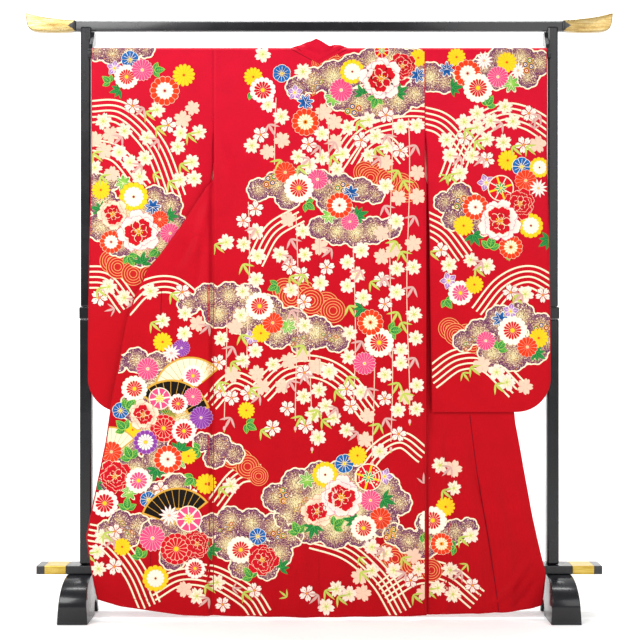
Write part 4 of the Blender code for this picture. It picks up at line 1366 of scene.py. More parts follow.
sleeveLeftPattern = [
    ripples(5, (-665, 1460), (-570, 1455), (-475, 1360), (-415, 1210)),
    ripples(4, (-665, 1360), (-580, 1335), (-505, 1240)), ripples(5, (-675, 985), (-610, 975), (-550, 900)),
    scales((-600, 1030, 34), (-555, 1010, 34), (-505, 1005, 34), (-460, 1020, 28)),
    clouds((-640, 1635, 32), (-595, 1628, 36), (-545, 1632, 34), (-500, 1640, 28)),
    clouds((-645, 1255, 32), (-600, 1262, 30), (-625, 1200, 45), (-630, 1130, 45), (-575, 1090, 50),
        (-515, 1060, 50), (-455, 1075, 45), (-420, 1130, 42), (-430, 1190, 38), (-475, 1215, 35),
        (-540, 1150, 75)),
    ("camellia", -545, 1610, 26), ("bell", -590, 1585, 24), ("leaves", -465, 1580, 24),
    ("leaves", -610, 1550, 22), ("snowRing", -555, 1560, 36), ("rosy", -510, 1580, 32),
    ("darkLeaves", -585, 1520, 24), ("redRing", -445, 1520, 43), ("yellow", -390, 1565, 33),
    ("greenMaple", -565, 1255, 26), ("yellow", -630, 1235, 28), ("darkLeaves", -640, 1180, 26),
    ("leaves", -545, 1035, 26), ("darkLeaves", -510, 1035, 28), ("leaves", -475, 1055, 24),
    ("darkLeaves", -425, 1160, 24), ("goldRing", -535, 1215, 43), ("blueMaple", -480, 1185, 26),
    ("ember", -460, 1150, 26), ("rosy", -430, 1110, 30), ("creamPeony", -595, 1165, 48),
    ("redRing", -600, 1085, 34), ("peony", -520, 1115, 66),
    scatter(-500, 1400, 155, 85, 14, 3), scatter(-550, 1300, 100, 50, 5, 4),
    scatter(-380, 1400, 40, 100, 2, 5), scatter(-385, 1270, 30, 40, 2, 6), scatter(-590, 925, 60, 35, 3, 7),
    ("slenderMauve", -600, 890, 24), ("slender", -470, 1275, 24), ("plain", -365, 1470, 22),
]

bodyPattern = [
    # painted shade: dark lines along two seams of the fronts and along the collar's V
    seam(0.0022, metres((434, 600), (456, 420), (484, 250), (508, 90), (518, 0))),
    seam(0.0016, metres((-452, 950), (-468, 500), (-492, 0))),
    seam(0.0016, [(x, rodZ + layerR * 0.9 - float(neckStart(x)) - 0.0032)
        for x in np.linspace(-0.080, 0.080, 13)]),
    # shoulders
    ripples(5, (35, 1300), (115, 1405), (215, 1442), (320, 1440), (420, 1380)),
    ripples(3, (105, 1300), (145, 1360), (195, 1375), (245, 1320)),
    ripples(4, (-185, 1025), (-135, 1115), (-55, 1165)),
    ripples(5, (-170, 650), (-100, 715), (-12, 725), (70, 685), (147, 590)),
    ripples(4, (-315, 620), (-250, 685), (-180, 660)),
    ripples(4, (100, 390), (165, 480), (235, 515), (300, 470)),
    # skirt
    ripples(5, (-665, 245), (-600, 225), (-530, 140), (-485, 40)),
    ripples(5, (-485, 85), (-400, 130), (-300, 120), (-205, 65), (-165, 10)),
    ripples(4, (-300, 330), (-235, 410), (-165, 420)),
    ripples(5, (-20, 235), (85, 200), (175, 120), (235, 20)),
    ripples(5, (180, 75), (270, 130), (365, 125), (455, 55)),
    ripples(4, (-560, 890), (-500, 950), (-420, 960), (-350, 910)),
    scales((0, 1600, 22), (35, 1608, 24), (75, 1600, 22)),
    scales((130, 1285, 32), (180, 1280, 34), (235, 1250, 34)),
    scales((-100, 945, 36), (-45, 935, 38), (20, 905, 36)),
    scales((-270, 485, 34), (-225, 455, 34), (-190, 425, 28)),
    scales((200, 190, 32), (250, 175, 34), (305, 155, 32)),
    clouds((-65, 1530, 34), (-20, 1550, 40), (40, 1560, 50), (100, 1580, 50), (155, 1605, 45),
        (215, 1600, 55), (270, 1600, 45), (60, 1505, 45), (115, 1485, 45), (170, 1475, 42),
        (225, 1490, 45), (275, 1510, 40), (305, 1560, 45)),
    clouds((-175, 1235, 35), (-125, 1250, 40), (-65, 1252, 45), (0, 1250, 45), (60, 1240, 45),
        (120, 1235, 38), (160, 1222, 30), (-90, 1215, 40), (30, 1205, 40)),
    clouds((0, 1125, 35), (50, 1115, 42), (105, 1112, 45), (155, 1118, 42), (205, 1125, 33),
        (80, 1150, 40)),
    clouds((-375, 905, 34), (-320, 925, 42), (-260, 930, 42), (-205, 925, 42), (-150, 885, 50),
        (-80, 850, 50), (-10, 825, 50), (50, 805, 40), (-220, 865, 50), (-290, 880, 45), (-120, 820, 45),
        (-50, 795, 36)),
    clouds((-580, 735, 30), (-525, 745, 38), (-465, 735, 36), (-430, 715, 28)),
    clouds((-460, 660, 60), (-400, 580, 60), (-480, 550, 65), (-530, 610, 45), (-560, 500, 50),
        (-460, 460, 50), (-530, 420, 55), (-410, 380, 42), (-600, 410, 45), (-460, 360, 40)),
    clouds((-420, 290, 45), (-470, 250, 45), (-380, 240, 45), (-420, 180, 40)),
    clouds((-335, 510, 30), (-285, 500, 36), (-245, 475, 32), (-300, 465, 34)),
    clouds((-570, 285, 34), (-520, 270, 38), (-545, 240, 34), (-610, 260, 28)),
    clouds((-310, 270, 36), (-255, 285, 42), (-195, 275, 45), (-130, 265, 42), (-80, 240, 36),
        (-260, 215, 48), (-190, 200, 50), (-120, 190, 45), (-225, 150, 36), (-150, 145, 34)),
    clouds((-125, 350, 42), (-65, 335, 50), (-65, 390, 46), (0, 405, 50), (65, 410, 50), (130, 400, 48),
        (190, 375, 46), (230, 335, 38), (-90, 295, 42), (-25, 265, 50), (45, 250, 50), (115, 255, 50),
        (185, 280, 45), (50, 330, 110)),
    clouds((215, 245, 34), (255, 225, 38), (305, 215, 44), (350, 235, 40), (390, 250, 38), (430, 262, 30),
        (310, 275, 36)),
    spray(-205, 1200, 740, 11), spray(-65, 1170, 560, 12), spray(100, 1080, 620, 13),
    spray(207, 1470, 500, 14), spray(256, 1440, 580, 15), spray(-25, 780, 500, 16),
    spray(30, 1450, 1270, 17), spray(-125, 1500, 1300, 18), spray(-270, 860, 560, 19),
    spray(155, 740, 460, 20),
    ("gold", -163, 1625, 24), ("yellow", -190, 1560, 28), ("camellia", -108, 1570, 26),
    ("snowRose", -163, 1522, 38), ("double", -47, 1575, 26), ("leaves", -190, 1510, 22),
    ("emberRing", -40, 1430, 40), ("bell", -70, 1515, 24), ("blueMaple", -40, 1487, 26),
    ("diamonds", -5, 1530, 18), ("hexagons", 95, 1475, 18), ("greenMaple", 40, 1500, 28),
    ("rosy", 63, 1522, 34), ("goldRing", 95, 1575, 36), ("darkLeaves", 120, 1520, 24),
    ("leaves", 160, 1490, 26), ("darkLeaves", 235, 1520, 26), ("redPeony", 240, 1592, 42),
    ("ball", 180, 1635, 22), ("peony", 178, 1555, 66), ("yellow", 285, 1615, 26),
    ("blueMaple", 285, 1565, 24), ("hexagons", -135, 1255, 17), ("hexagons", 68, 1250, 17),
    ("ember", -98, 1285, 31), ("rosy", -5, 1265, 30), ("leaves", -30, 1190, 24),
    ("snowRing", -59, 1240, 43), ("blueMaple", 90, 1225, 26), ("darkLeaves", 120, 1165, 26),
    ("redRing", 58, 1190, 38), ("greenMaple", 28, 1160, 26), ("rosy", 88, 1143, 26),
    ("leaves", -130, 955, 24), ("greenMaple", -90, 842, 26), ("diamonds", -60, 800, 18),
    ("diamonds", 30, 815, 18), ("bell", -195, 810, 22), ("yellow", -168, 822, 27), ("ember", -134, 852, 31),
    ("snowRing", -172, 900, 41), ("darkLeaves", 118, 885, 28), ("leaves", 215, 830, 28),
    ("rosy", 130, 735, 33), ("snowRing", 172, 795, 43), ("emberRing", 147, 853, 38),
    ("yellow", -210, 600, 25), ("leaves", -200, 555, 26), ("white", -285, 655, 23),
    # the crowded stretch on the left front
    ("yellow", -449, 797, 28), ("whiteStar", -424, 765, 27), ("violetMum", -395, 780, 25),
    ("rosy", -492, 720, 33), ("creamFan", -370, 650, 105), ("pinkRing", -362, 700, 32),
    ("blackFan", -425, 575, 115), ("snowRing", -530, 663, 38), ("pinkBall", -457, 635, 32),
    ("leaves", -545, 615, 28), ("rosy", -362, 640, 27), ("snowRose", -405, 620, 29),
    ("darkLeaves", -400, 500, 32), ("crimsonMum", -446, 550, 40), ("violetMum", -339, 580, 33),
    ("creamPeony", -504, 588, 47), ("snowRose", -388, 542, 36), ("creamFan", -600, 465, 90),
    ("ember", -596, 482, 31), ("violetRing", -498, 510, 35), ("leaves", -545, 475, 30),
    ("darkLeaves", -470, 420, 28), ("redRing", -434, 461, 41), ("redPeony", -585, 412, 52),
    ("pinkRing", -518, 400, 37), ("yellow", -325, 390, 30), ("leaves", -370, 400, 26),
    ("bell", -655, 445, 24), ("leaves", -565, 555, 28), ("darkLeaves", -430, 590, 26),
    ("greenMaple", -400, 455, 26), ("leaves", -355, 485, 26), ("darkLeaves", -640, 385, 28),
    ("greenMaple", -545, 365, 26), ("yellow", -375, 470, 24), ("white", -455, 375, 24),
    ("leaves", -630, 500, 24), ("hexagons", -400, 350, 18), ("diamonds", -475, 345, 20),
    ("white", -365, 355, 24), ("camellia", -570, 600, 24), ("yellow", -535, 545, 24),
    ("blackFan", -405, 270, 110), ("pinkBall", -374, 290, 38), ("whiteStar", -430, 300, 31),
    ("snowRose", -615, 335, 40), ("leaves", -550, 330, 28), ("diamonds", -550, 265, 18),
    ("darkLeaves", -305, 200, 28), ("rosy", -478, 235, 38), ("redPeony", -350, 218, 44),
    ("crimsonMum", -410, 204, 46), ("goldRing", -469, 120, 38), ("snowRose", -356, 148, 30),
    ("leaves", -515, 190, 26), ("greenMaple", -440, 350, 26), ("camellia", -490, 345, 24),
    ("yellow", -565, 210, 26), ("diamonds", -270, 265, 18), ("hexagons", -120, 235, 16),
    ("camellia", -177, 238, 25), ("snowRing", -226, 200, 40), ("leaves", -200, 130, 28),
    ("redPeony", -163, 172, 50), ("darkLeaves", -105, 155, 26),
    # the bouquet at the middle of the hem and the cloud that runs on to the right front
    ("hexagons", -95, 355, 17), ("diamonds", -55, 330, 18), ("greenMaple", -35, 400, 28),
    ("goldRing", 17, 415, 38), ("camellia", 72, 447, 28), ("yellow", 110, 470, 28), ("bell", 188, 410, 26),
    ("ball", 141, 408, 40), ("rosy", 147, 342, 31), ("darkLeaves", 195, 340, 30), ("leaves", -65, 260, 28),
    ("darkLeaves", -20, 255, 30), ("leaves", 52, 275, 28), ("darkLeaves", 90, 285, 28),
    ("ember", 175, 290, 32), ("snowRing", 127, 262, 38), ("creamPeony", -6, 310, 50),
    ("peony", 63, 350, 66), ("hexagons", 210, 240, 17), ("yellow", 364, 322, 28),
    ("snowRing", 327, 282, 41), ("leaves", 381, 205, 24), ("leaves", 306, 238, 24),
    ("emberRing", 352, 215, 32),
    scatter(20, 1380, 220, 90, 14, 21), scatter(60, 1020, 220, 60, 8, 22),
    scatter(20, 630, 250, 130, 13, 23), scatter(-230, 1100, 60, 50, 2, 24),
    scatter(-210, 700, 90, 70, 5, 25), scatter(170, 165, 130, 50, 7, 26), scatter(360, 115, 100, 50, 6, 27),
    scatter(360, 420, 50, 60, 3, 28), scatter(-600, 200, 70, 60, 5, 29), scatter(-300, 80, 120, 40, 5, 30),
    scatter(60, 80, 120, 50, 5, 31), scatter(420, 220, 40, 30, 1, 32), scatter(-400, 845, 70, 50, 4, 33),
    scatter(-440, 940, 50, 30, 2, 34), scatter(-240, 360, 40, 40, 1, 35),
    ("slender", 120, 170, 22), ("slenderMauve", 300, 400, 24), ("slender", 420, 150, 22),
    ("slenderMauve", -240, 90, 22), ("slender", -100, 70, 22),
]

sleeveRightPattern = [
    ripples(5, (290, 1445), (360, 1420), (440, 1330)),
    ripples(5, (375, 1260), (430, 1385), (520, 1450), (600, 1440), (680, 1390)),
    ripples(5, (300, 1145), (360, 1110), (415, 1040)),
    ripples(5, (465, 875), (530, 955), (605, 985), (680, 950)),
    ripples(5, (320, 690), (400, 745), (485, 740), (570, 660)),
    scales((375, 835, 32), (425, 815, 34), (465, 785, 28)),
    clouds((430, 1565, 34), (475, 1590, 38), (525, 1615, 40), (580, 1615, 42), (635, 1600, 38),
        (600, 1560, 35), (510, 1555, 35), (320, 1560, 45), (360, 1545, 35)),
    clouds((360, 1200, 32), (405, 1220, 38), (440, 1185, 42), (385, 1150, 34), (470, 1140, 40)),
    clouds((415, 800, 32), (460, 825, 40), (520, 860, 45), (580, 870, 45), (640, 840, 42), (500, 765, 45),
        (560, 755, 45), (620, 775, 45), (660, 800, 34), (550, 810, 50)),
    ("blueMaple", 367, 1582, 24), ("yellow", 395, 1617, 27), ("darkLeaves", 393, 1530, 26),
    ("whiteStar", 474, 1607, 28), ("redRing", 427, 1570, 40), ("leaves", 488, 1487, 26),
    ("greenMaple", 552, 1540, 28), ("yellow", 540, 1602, 30), ("snowRing", 457, 1528, 43),
    ("rosy", 514, 1560, 31), ("whiteStar", 572, 1578, 26), ("hexagons", 610, 1590, 17),
    ("darkLeaves", 450, 1095, 30), ("leaves", 494, 1080, 30), ("darkLeaves", 653, 1085, 28),
    ("leaves", 550, 1055, 26), ("yellow", 543, 1320, 30), ("camellia", 583, 1302, 28),
    ("goldRing", 635, 1300, 30), ("bell", 480, 1256, 26), ("hexagons", 400, 1205, 17),
    ("ball", 523, 1240, 38), ("ember", 595, 1262, 32), ("whiteStar", 632, 1240, 28),
    ("redRing", 450, 1185, 38), ("yellow", 416, 1132, 30), ("goldRing", 610, 1132, 36),
    ("redPeony", 578, 1195, 48), ("emberRing", 552, 1070, 35), ("peony", 520, 1145, 66),
    ("bell", 373, 973, 26), ("pinkRing", 407, 938, 36), ("yellow", 447, 962, 27), ("leaves", 370, 910, 24),
    ("bell", 552, 885, 25), ("blueMaple", 521, 862, 26), ("rosy", 480, 800, 28), ("diamonds", 436, 790, 18),
    ("hexagons", 640, 845, 16), ("leaves", 523, 785, 26), ("yellow", 633, 808, 29),
    ("darkLeaves", 633, 760, 26), ("snowRing", 557, 830, 43), ("ember", 600, 782, 30),
    scatter(520, 1390, 130, 95, 16, 41), scatter(400, 1330, 50, 70, 3, 42),
    scatter(600, 940, 50, 30, 3, 43), scatter(440, 720, 80, 30, 2, 44), scatter(580, 690, 60, 30, 2, 45),
    scatter(460, 1020, 100, 30, 3, 46), scatter(360, 1060, 30, 30, 1, 47),
    ("slender", 420, 700, 24), ("slenderMauve", 620, 1420, 22), ("slender", 360, 1270, 22),
]

# the far sides: a few groups of the same kinds, on a sleeve's far layer and on the fronts that hang inside
sleeveFarPattern = [
    ripples(4, (330, 1290), (410, 1395), (510, 1420), (610, 1390), (680, 1320)),
    ripples(4, (330, 820), (420, 905), (530, 900), (620, 820)),
    scales((360, 1060, 32), (410, 1040, 34), (455, 1010, 30)),
    clouds((400, 1205, 36), (450, 1230, 42), (510, 1240, 45), (570, 1225, 42), (620, 1200, 34),
        (470, 1180, 38), (540, 1180, 42)),
    clouds((420, 720, 34), (470, 740, 42), (530, 745, 42), (585, 725, 34), (500, 700, 36)),
    ("peony", 500, 1215, 60), ("snowRing", 430, 1225, 40), ("rosy", 565, 1235, 32),
    ("yellow", 600, 1195, 28), ("leaves", 460, 1155, 26), ("darkLeaves", 550, 1150, 28),
    ("ember", 410, 1180, 30), ("redRing", 500, 745, 38), ("bell", 445, 740, 26), ("snowRose", 555, 735, 34),
    ("leaves", 510, 700, 24), ("blueMaple", 600, 760, 26), ("yellow", 400, 1560, 28),
    ("camellia", 460, 1570, 26),
    scatter(500, 1480, 120, 80, 9, 51), scatter(520, 990, 110, 70, 7, 52),
    scatter(420, 1320, 70, 30, 3, 53),
]
frontFarPattern = [
    ripples(4, (70, 1320), (140, 1410), (230, 1400), (295, 1320)),
    clouds((130, 1500, 34), (175, 1520, 42), (230, 1520, 40), (270, 1500, 30), (200, 1485, 36)),
    ("creamPeony", 200, 1515, 45), ("rosy", 145, 1510, 30), ("yellow", 255, 1500, 28),
    ("leaves", 170, 1465, 24), ("bell", 235, 1555, 24), ("snowRing", 215, 1250, 38),
    ("emberRing", 265, 1215, 32), ("darkLeaves", 180, 1215, 26),
    scatter(180, 1370, 90, 50, 6, 54), scatter(240, 1150, 40, 60, 3, 55), scatter(200, 1600, 70, 20, 2, 56),
]


def drawn(pattern):
    # a list of groups from the ground up: what lies on the ground, stems, then motifs on what they overlap
    parts = [part for item in pattern if isinstance(item, list) for part in item]
    placedByHand = [(item[0], *metres(item[1:])[0]) if isinstance(item, tuple) else item
        for item in pattern]
    taken = [item[1:4] for item in placedByHand if isinstance(item, tuple)]
    flowers, spots = [], []
    for item in placedByHand:
        if isinstance(item, tuple):
            flowers.append(item)
        elif callable(item):
            stems, grown = item(taken)
            parts += stems
            flowers += grown
    # small blossoms go under the big flowers
    order = sorted(range(len(flowers)), key=lambda i: (flowers[i][3] > 0.0265, i))
    for i in order:
        kind, x, z, size, *turn = flowers[i]
        if not turn:
            turn = [0.25 * math.sin(i) if "Fan" in kind else (i * 2.399) % (2 * math.pi)]
        level = 1 + max((level for sx, sz, sr, level in spots if math.hypot(x - sx, z - sz) < size + sr),
            default=2)
        spots.append((x, z, size, level))
        parts.append(placed(kind, x, z, size, turn[0], level))
    print(len(flowers), "motifs, deepest level", max(spot[3] for spot in spots))
    return splitLong(*(np.concatenate(part) for part in zip(*parts)))


# each face as the eye meets it: the height y of the nearest cloth over a net of (x, z)

net = {"step": 0.004}
shoulderR = layerR + cloth["wall"] / 2


def faceNet(names, facing, lowX, highX, lowZ=0.0, highZ=1.646):
    xs = np.arange(lowX, highX + net["step"], net["step"])
    zs = np.arange(lowZ, highZ + net["step"], net["step"])
    best = np.full((len(xs), len(zs)), np.inf)
    for name in names:
        places, normals = unpacked(panels[name][1])
        outward = np.where((normals[:, :, 1:2] * facing) > 0, normals, -normals)
        faces = places + outward * (cloth["wall"] / 2)
        rowY = np.full((len(faces), len(xs)), np.inf)
        rowZ = np.full((len(faces), len(xs)), np.nan)
        for i, row in enumerate(faces):
            turns = np.flatnonzero(np.diff(np.sign(np.diff(row[:, 0]))) != 0) + 1
            for stretch in np.split(np.arange(len(row)), turns):
                stretch = np.r_[stretch, stretch[-1] + 1] if stretch[-1] + 1 < len(row) else stretch
                part = row[stretch]
                if len(part) < 2 or abs(part[-1, 0] - part[0, 0]) < 0.002:
                    continue
                part = part[np.argsort(part[:, 0])]
                within = (xs >= part[0, 0] - net["step"]) & (xs <= part[-1, 0] + net["step"])
                y = np.interp(xs, part[:, 0], part[:, 1]) * -facing
                nearer = within & (y < rowY[i])
                rowY[i, nearer] = y[nearer]
                rowZ[i, nearer] = np.interp(xs, part[:, 0], part[:, 2])[nearer]
        for j in range(len(xs)):
            known = np.isfinite(rowY[:, j])
            if known.sum() > 1:
                order = np.argsort(rowZ[known, j])
                z, y = rowZ[known, j][order], rowY[known, j][order]
                near = (zs > z[0] - 0.012) & (zs < z[-1] + 0.012)
                best[j, near] = np.minimum(best[j, near], np.interp(zs, z, y)[near])
    # bare places take their neighbours' height
    for axis in (0, 1):
        lines = best if axis == 0 else best.T
        for k in range(lines.shape[1]):
            known = np.isfinite(lines[:, k])
            if known.any() and not known.all():
                lines[:, k] = np.interp(np.arange(len(known)), np.flatnonzero(known), lines[known, k])
    return xs, zs, best * -facing


def netHeight(face, x, z):
    xs, zs, heights = face
    u = np.clip((x - xs[0]) / net["step"], 0, len(xs) - 1.001)
    v = np.clip((z - zs[0]) / net["step"], 0, len(zs) - 1.001)
    i, j = u.astype(int), v.astype(int)
    s, t = u - i, v - j
    return ((1 - s) * (1 - t) * heights[i, j] + s * (1 - t) * heights[i + 1, j] + (1 - s) * t
        * heights[i, j + 1] + s * t * heights[i + 1, j + 1])


def spinOf(corners):
    edges = corners[:, 1:, :2] - corners[:, :1, :2]
    return edges[:, 0, 0] * edges[:, 1, 1] - edges[:, 0, 1] * edges[:, 1, 0]


def layOn(name, drawing, face, facing, fields):
    corners, kinds = drawing
    near = (corners[:, :, 0].max(axis=1) > face[0][0]) & (corners[:, :, 0].min(axis=1) < face[0][-1])
    corners, kinds = corners[near], kinds[near]
    for field in fields:
        corners, kinds = cutTo(corners, kinds, field)
    whole = np.abs(spinOf(corners)) > 1e-9
    corners, kinds = corners[whole], kinds[whole]
    # anticlockwise to the viewer of this face
    away = spinOf(corners) * facing > 0
    corners[away] = corners[away][:, ::-1]
    # corners that are the same in place, level, dye and material become one
    flat = corners.reshape(-1, 7)
    rounded = np.column_stack([flat[:, :2] * 2e5, flat[:, 2] * 1e6, flat[:, 3:6] * 250,
        np.repeat(kinds, 3)])
    rounded = np.round(rounded).astype(np.int64)
    mixing = np.array([1, 7919 * 131, 104729 * 17, 15485863, 32452843 * 3, 49979687 * 7, 86028121 * 5])
    key = (rounded * mixing).sum(axis=1)
    _, first, corner = np.unique(key, return_index=True, return_inverse=True)
    points = flat[first]
    x, z = points[:, 0], points[:, 1]
    small = 0.002
    slopeX = (netHeight(face, x + small, z) - netHeight(face, x - small, z)) / (2 * small)
    slopeZ = (netHeight(face, x, z + small) - netHeight(face, x, z - small)) / (2 * small)
    normals = np.stack([-slopeX * facing, np.full(len(x), float(facing)), -slopeZ * facing], 1)
    normals /= np.linalg.norm(normals, axis=1, keepdims=True)
    middle = np.stack([x, netHeight(face, x, z), z], 1)
    # above the rod's middle the pattern turns over the shoulder
    high = z > rodZ
    turn = (z[high] - rodZ) / shoulderR
    normals[high] = np.stack([np.zeros(high.sum()), facing * np.cos(turn), np.sin(turn)], 1)
    middle[high] = np.stack([x[high], facing * shoulderR * np.cos(turn), rodZ + shoulderR * np.sin(turn)],
        1)
    places = middle + normals * (layup["base"] + points[:, 2:3])
    triangles = corner.reshape(-1, 3)
    sound = (triangles != np.roll(triangles, 1, axis=1)).all(axis=1)
    triangles, kinds = triangles[sound], kinds[sound]
    mesh = bpy.data.meshes.new(name)
    mesh.from_pydata(places.tolist(), [], triangles.tolist())
    mesh.polygons.foreach_set("material_index", kinds.astype(np.int32))
    mesh.shade_smooth()
    dye = mesh.attributes.new("dye", "FLOAT_COLOR", "POINT")
    dye.data.foreach_set("color", np.column_stack([points[:, 3:6], np.ones(len(points))]).ravel())
    mesh.attributes.new("inward", "FLOAT", "POINT").data.foreach_set("value", points[:, 6])
    mesh.uv_layers.new(name="weave").data.foreach_set("uv", points[triangles.ravel(), :2].ravel())
    mesh.normals_split_custom_set_from_vertices(normals.tolist())
    piece = addPiece(name, mesh, [silkDyed, silkFlecked])
    ridesAs(piece, "silk")
    print(name, len(triangles), "triangles")
    return piece


# where each drawing ends

def hemEdge(x, z):
    return z - hemHeight(x, np.full(np.shape(x), cloth["hemZ"])) - 0.003


def neckEdge(x, z):
    down = rodZ + layerR * 0.9 - z
    return np.where(np.abs(x) < cloth["neckHalf"], down - neckStart(x) - 0.002, 1.0)


def shoulderEdge(x, z):
    return rodZ + shoulderR * math.pi / 2 - 0.0004 - z


def foldEdge(side, rows):
    return lambda x, z: bodyHalf + column(rows, "fold", z) - 0.0045 - side * x


def sleeveShape(side):
    def field(x, z):
        reach = side * x
        inner = reach - column(sleeveEdge, "inner", z) - 0.002
        outer = column(sleeveEdge, "outer", z) - 0.002 - reach
        corner, bottom = cloth["sleeveCorner"], cloth["sleeveBottomZ"]
        edge = column(sleeveEdge, "outer", z)
        outX, outZ = reach - (edge - corner), (bottom + corner) - z
        rounded = corner - 0.002 - np.hypot(np.maximum(outX, 0), np.maximum(outZ, 0))
        return np.minimum(np.minimum(inner, outer), np.where((outX > 0) | (outZ > 0), rounded, 1.0))
    return field


def hungEdge(word, side):
    # the fronts end at the collar's seam: the overlap's edge, and above its tip the front's own
    tip = cloth["okumiTipZ"] - 0.012
    rows = [row for row in panels["okumi_" + word][1] if row[-1][0][2] < tip]
    rows += [row for row in panels["front_" + word][1] if row[-1][0][2] >= tip]
    ends = sorted((float(row[-1][0][2]), side * float(row[-1][0][0])) for row in rows)
    levels, reaches = zip(*ends)
    return lambda x, z: side * x - np.maximum(np.interp(z, levels, reaches), 0.002) - 0.004


def mirrored(drawing, down=0.0):
    corners, kinds = drawing[0].copy(), drawing[1]
    corners[:, :, 0] *= -1
    corners[:, :, 1] -= down
    return corners, kinds


patterns = {}


def layDrawing(panel, drawing, facing, span, *fields, beside=(), ending=""):
    # "span" is x from and to, and z from and to where it isn't the whole height
    low, high = sorted(span[:2])
    face = faceNet([panel, *beside], facing, low, high, *span[2:])
    patterns.setdefault(panel, []).append(layOn("dyed_" + panel + ending, drawing, face, facing, fields))


body, leftSleeve, rightSleeve = drawn(bodyPattern), drawn(sleeveLeftPattern), drawn(sleeveRightPattern)
farSleeve, farFront = drawn(sleeveFarPattern), drawn(frontFarPattern)
print("pattern drawn")
for word, side in sides:
    layDrawing("back_" + word, body, -1, (0.0, side * bodyHalf), lambda x, z: bodyHalf - 0.0012 - side * x,
        lambda x, z: side * x - 0.0003, hemEdge, neckEdge, shoulderEdge)
layDrawing("front_left", body, -1, (-0.675, -bodyHalf, 0.0, 1.25), lambda x, z: -bodyHalf - 0.0012 - x,
    foldEdge(-1, leftFront), hemEdge, lambda x, z: 1.10 - z, beside=["okumi_left"])
layDrawing("front_right", body, -1, (0.66, bodyHalf, 0.0, 0.62), lambda x, z: x - bodyHalf - 0.012,
    foldEdge(1, rightFront), hemEdge, lambda x, z: 0.585 - z, beside=["okumi_right"])
for (word, side), drawing in zip(sides, (leftSleeve, rightSleeve)):
    layDrawing(f"sleeve_{word}_back", drawing, -1, (side * bodyHalf, side * 0.67, 0.59), sleeveShape(side),
        shoulderEdge)
farDrawings = ((mirrored(farSleeve, 0.03), mirrored(farFront, 0.02)), (farSleeve, farFront))
for (word, side), (onSleeve, onFront) in zip(sides, farDrawings):
    layDrawing(f"sleeve_{word}_front", onSleeve, 1, (side * bodyHalf, side * 0.67, 0.59),
        sleeveShape(side), shoulderEdge)
    layDrawing("front_" + word, onFront, 1, (0.0, side * bodyHalf, 1.0), hungEdge(word, side),
        lambda x, z: bodyHalf - 0.015 - np.abs(x), lambda x, z: z - 1.06, shoulderEdge,
        beside=["okumi_" + word], ending="_hung")
print("pattern laid")


# seams are sewn with small running stitches, drawn along listed edges of the panels

stitching = {"pitch": 0.0070, "length": 0.0036, "thickness": 0.00050, "inset": 0.0034, "lift": 0.0004,
    "seed": 6}
seamRuns = [("back_left", "first"), ("back_left", "foot"), ("back_right", "foot")]
seamRuns += [(f"sleeve_{word}_back", edge) for edge in ("last", "foot", "first") for word, _ in sides]
seamRuns += [("collar", "first"), ("collar", "last")]


def threadMaterial():
    # a two-ply silk thread: its twist crosses it at a slant, and its grooves are painted darker as painted
    # shade
    made, add, shader, coordinates = startMaterial("red silk thread")
    twist = add("TexWave", {"Vector": coordinates["Object"], "Scale": 900.0}, "Fac",
        bands_direction="DIAGONAL")
    colour = add("ValToRGB", {"Fac": twist}, stops=[(0.2, "#8E0414"), (0.8, "#C2162C")])
    bump = add("Bump", {"Strength": 0.4, "Distance": 0.0002, "Height": twist})
    fillSockets(made.node_tree, shader, {"Base Color": colour, "Roughness": 0.42,
        "Specular IOR Level": 0.2, "Normal": bump})
    return made


def seamLine(panel, edge):
    # the points a stitch's inset from one edge of a panel, on the side that faces the viewer
    grid = panels[panel][1]
    lines = list(zip(*grid)) if edge == "foot" else grid
    points = []
    for line in lines:
        places, normals = (part[0] for part in unpacked([line]))
        if edge == "last" or (edge == "foot" and panel.startswith("back")):
            places, normals = places[::-1], normals[::-1]
        reach = lengthsAlong(places)
        place, normal = (np.array([np.interp(stitching["inset"], reach, part[:, k]) for k in range(3)])
            for part in (places, normals))
        wall = cloth["collarWall"] if panel == "collar" else cloth["wall"]
        if normal[1] > 0:
            normal = -normal
        if panel != "collar" or place[1] < -0.004 and place[2] > 1.58:
            points.append(place + normal * (wall / 2 + stitching["lift"]))
    return points


def stitchTree():
    tree = bpy.data.node_groups.new("running stitches", "GeometryNodeTree")
    add = partial(addNode, tree)
    tree.interface.new_socket("Geometry", in_out="INPUT", socket_type="NodeSocketGeometry")
    for name, kind in (("Pitch", "Float"), ("Length", "Float"), ("Thickness", "Float"), ("Seed", "Int"),
            ("Thread", "Material")):
        tree.interface.new_socket(name, in_out="INPUT", socket_type="NodeSocket" + kind)
    tree.interface.new_socket("Geometry", in_out="OUTPUT", socket_type="NodeSocketGeometry")
    given = tree.nodes.new("NodeGroupInput").outputs
    line = add("GeometryNodeMeshToCurve", {"Mesh": given["Geometry"]}, "Curve")
    spots = add("GeometryNodeResampleCurve", {"Curve": line, "Length": given["Pitch"]}, "Curve",
        mode="LENGTH")
    along = add("GeometryNodeInputTangent", {}, "Tangent")
    turn = add("FunctionNodeAlignRotationToVector", {"Vector": along}, "Rotation", axis="X")
    uneven = add("FunctionNodeRandomValue", {2: 0.85, 3: 1.12, "Seed": given["Seed"]}, 1, data_type="FLOAT")
    length = add("Math", {0: given["Length"], 1: uneven}, operation="MULTIPLY")
    size = add("CombineXYZ", {"X": length, "Y": given["Thickness"], "Z": given["Thickness"]})
    bead = add("GeometryNodeMeshIcoSphere", {"Radius": 0.5, "Subdivisions": 1}, "Mesh")
    sewn = add("GeometryNodeInstanceOnPoints", {"Points": spots, "Instance": bead, "Rotation": turn,
        "Scale": size}, "Instances")
    real = add("GeometryNodeRealizeInstances", {"Geometry": sewn}, "Geometry")
    made = add("GeometryNodeSetMaterial", {"Geometry": real, "Material": given["Thread"]}, "Geometry")
    tree.links.new(made, tree.nodes.new("NodeGroupOutput").inputs["Geometry"])
    return tree


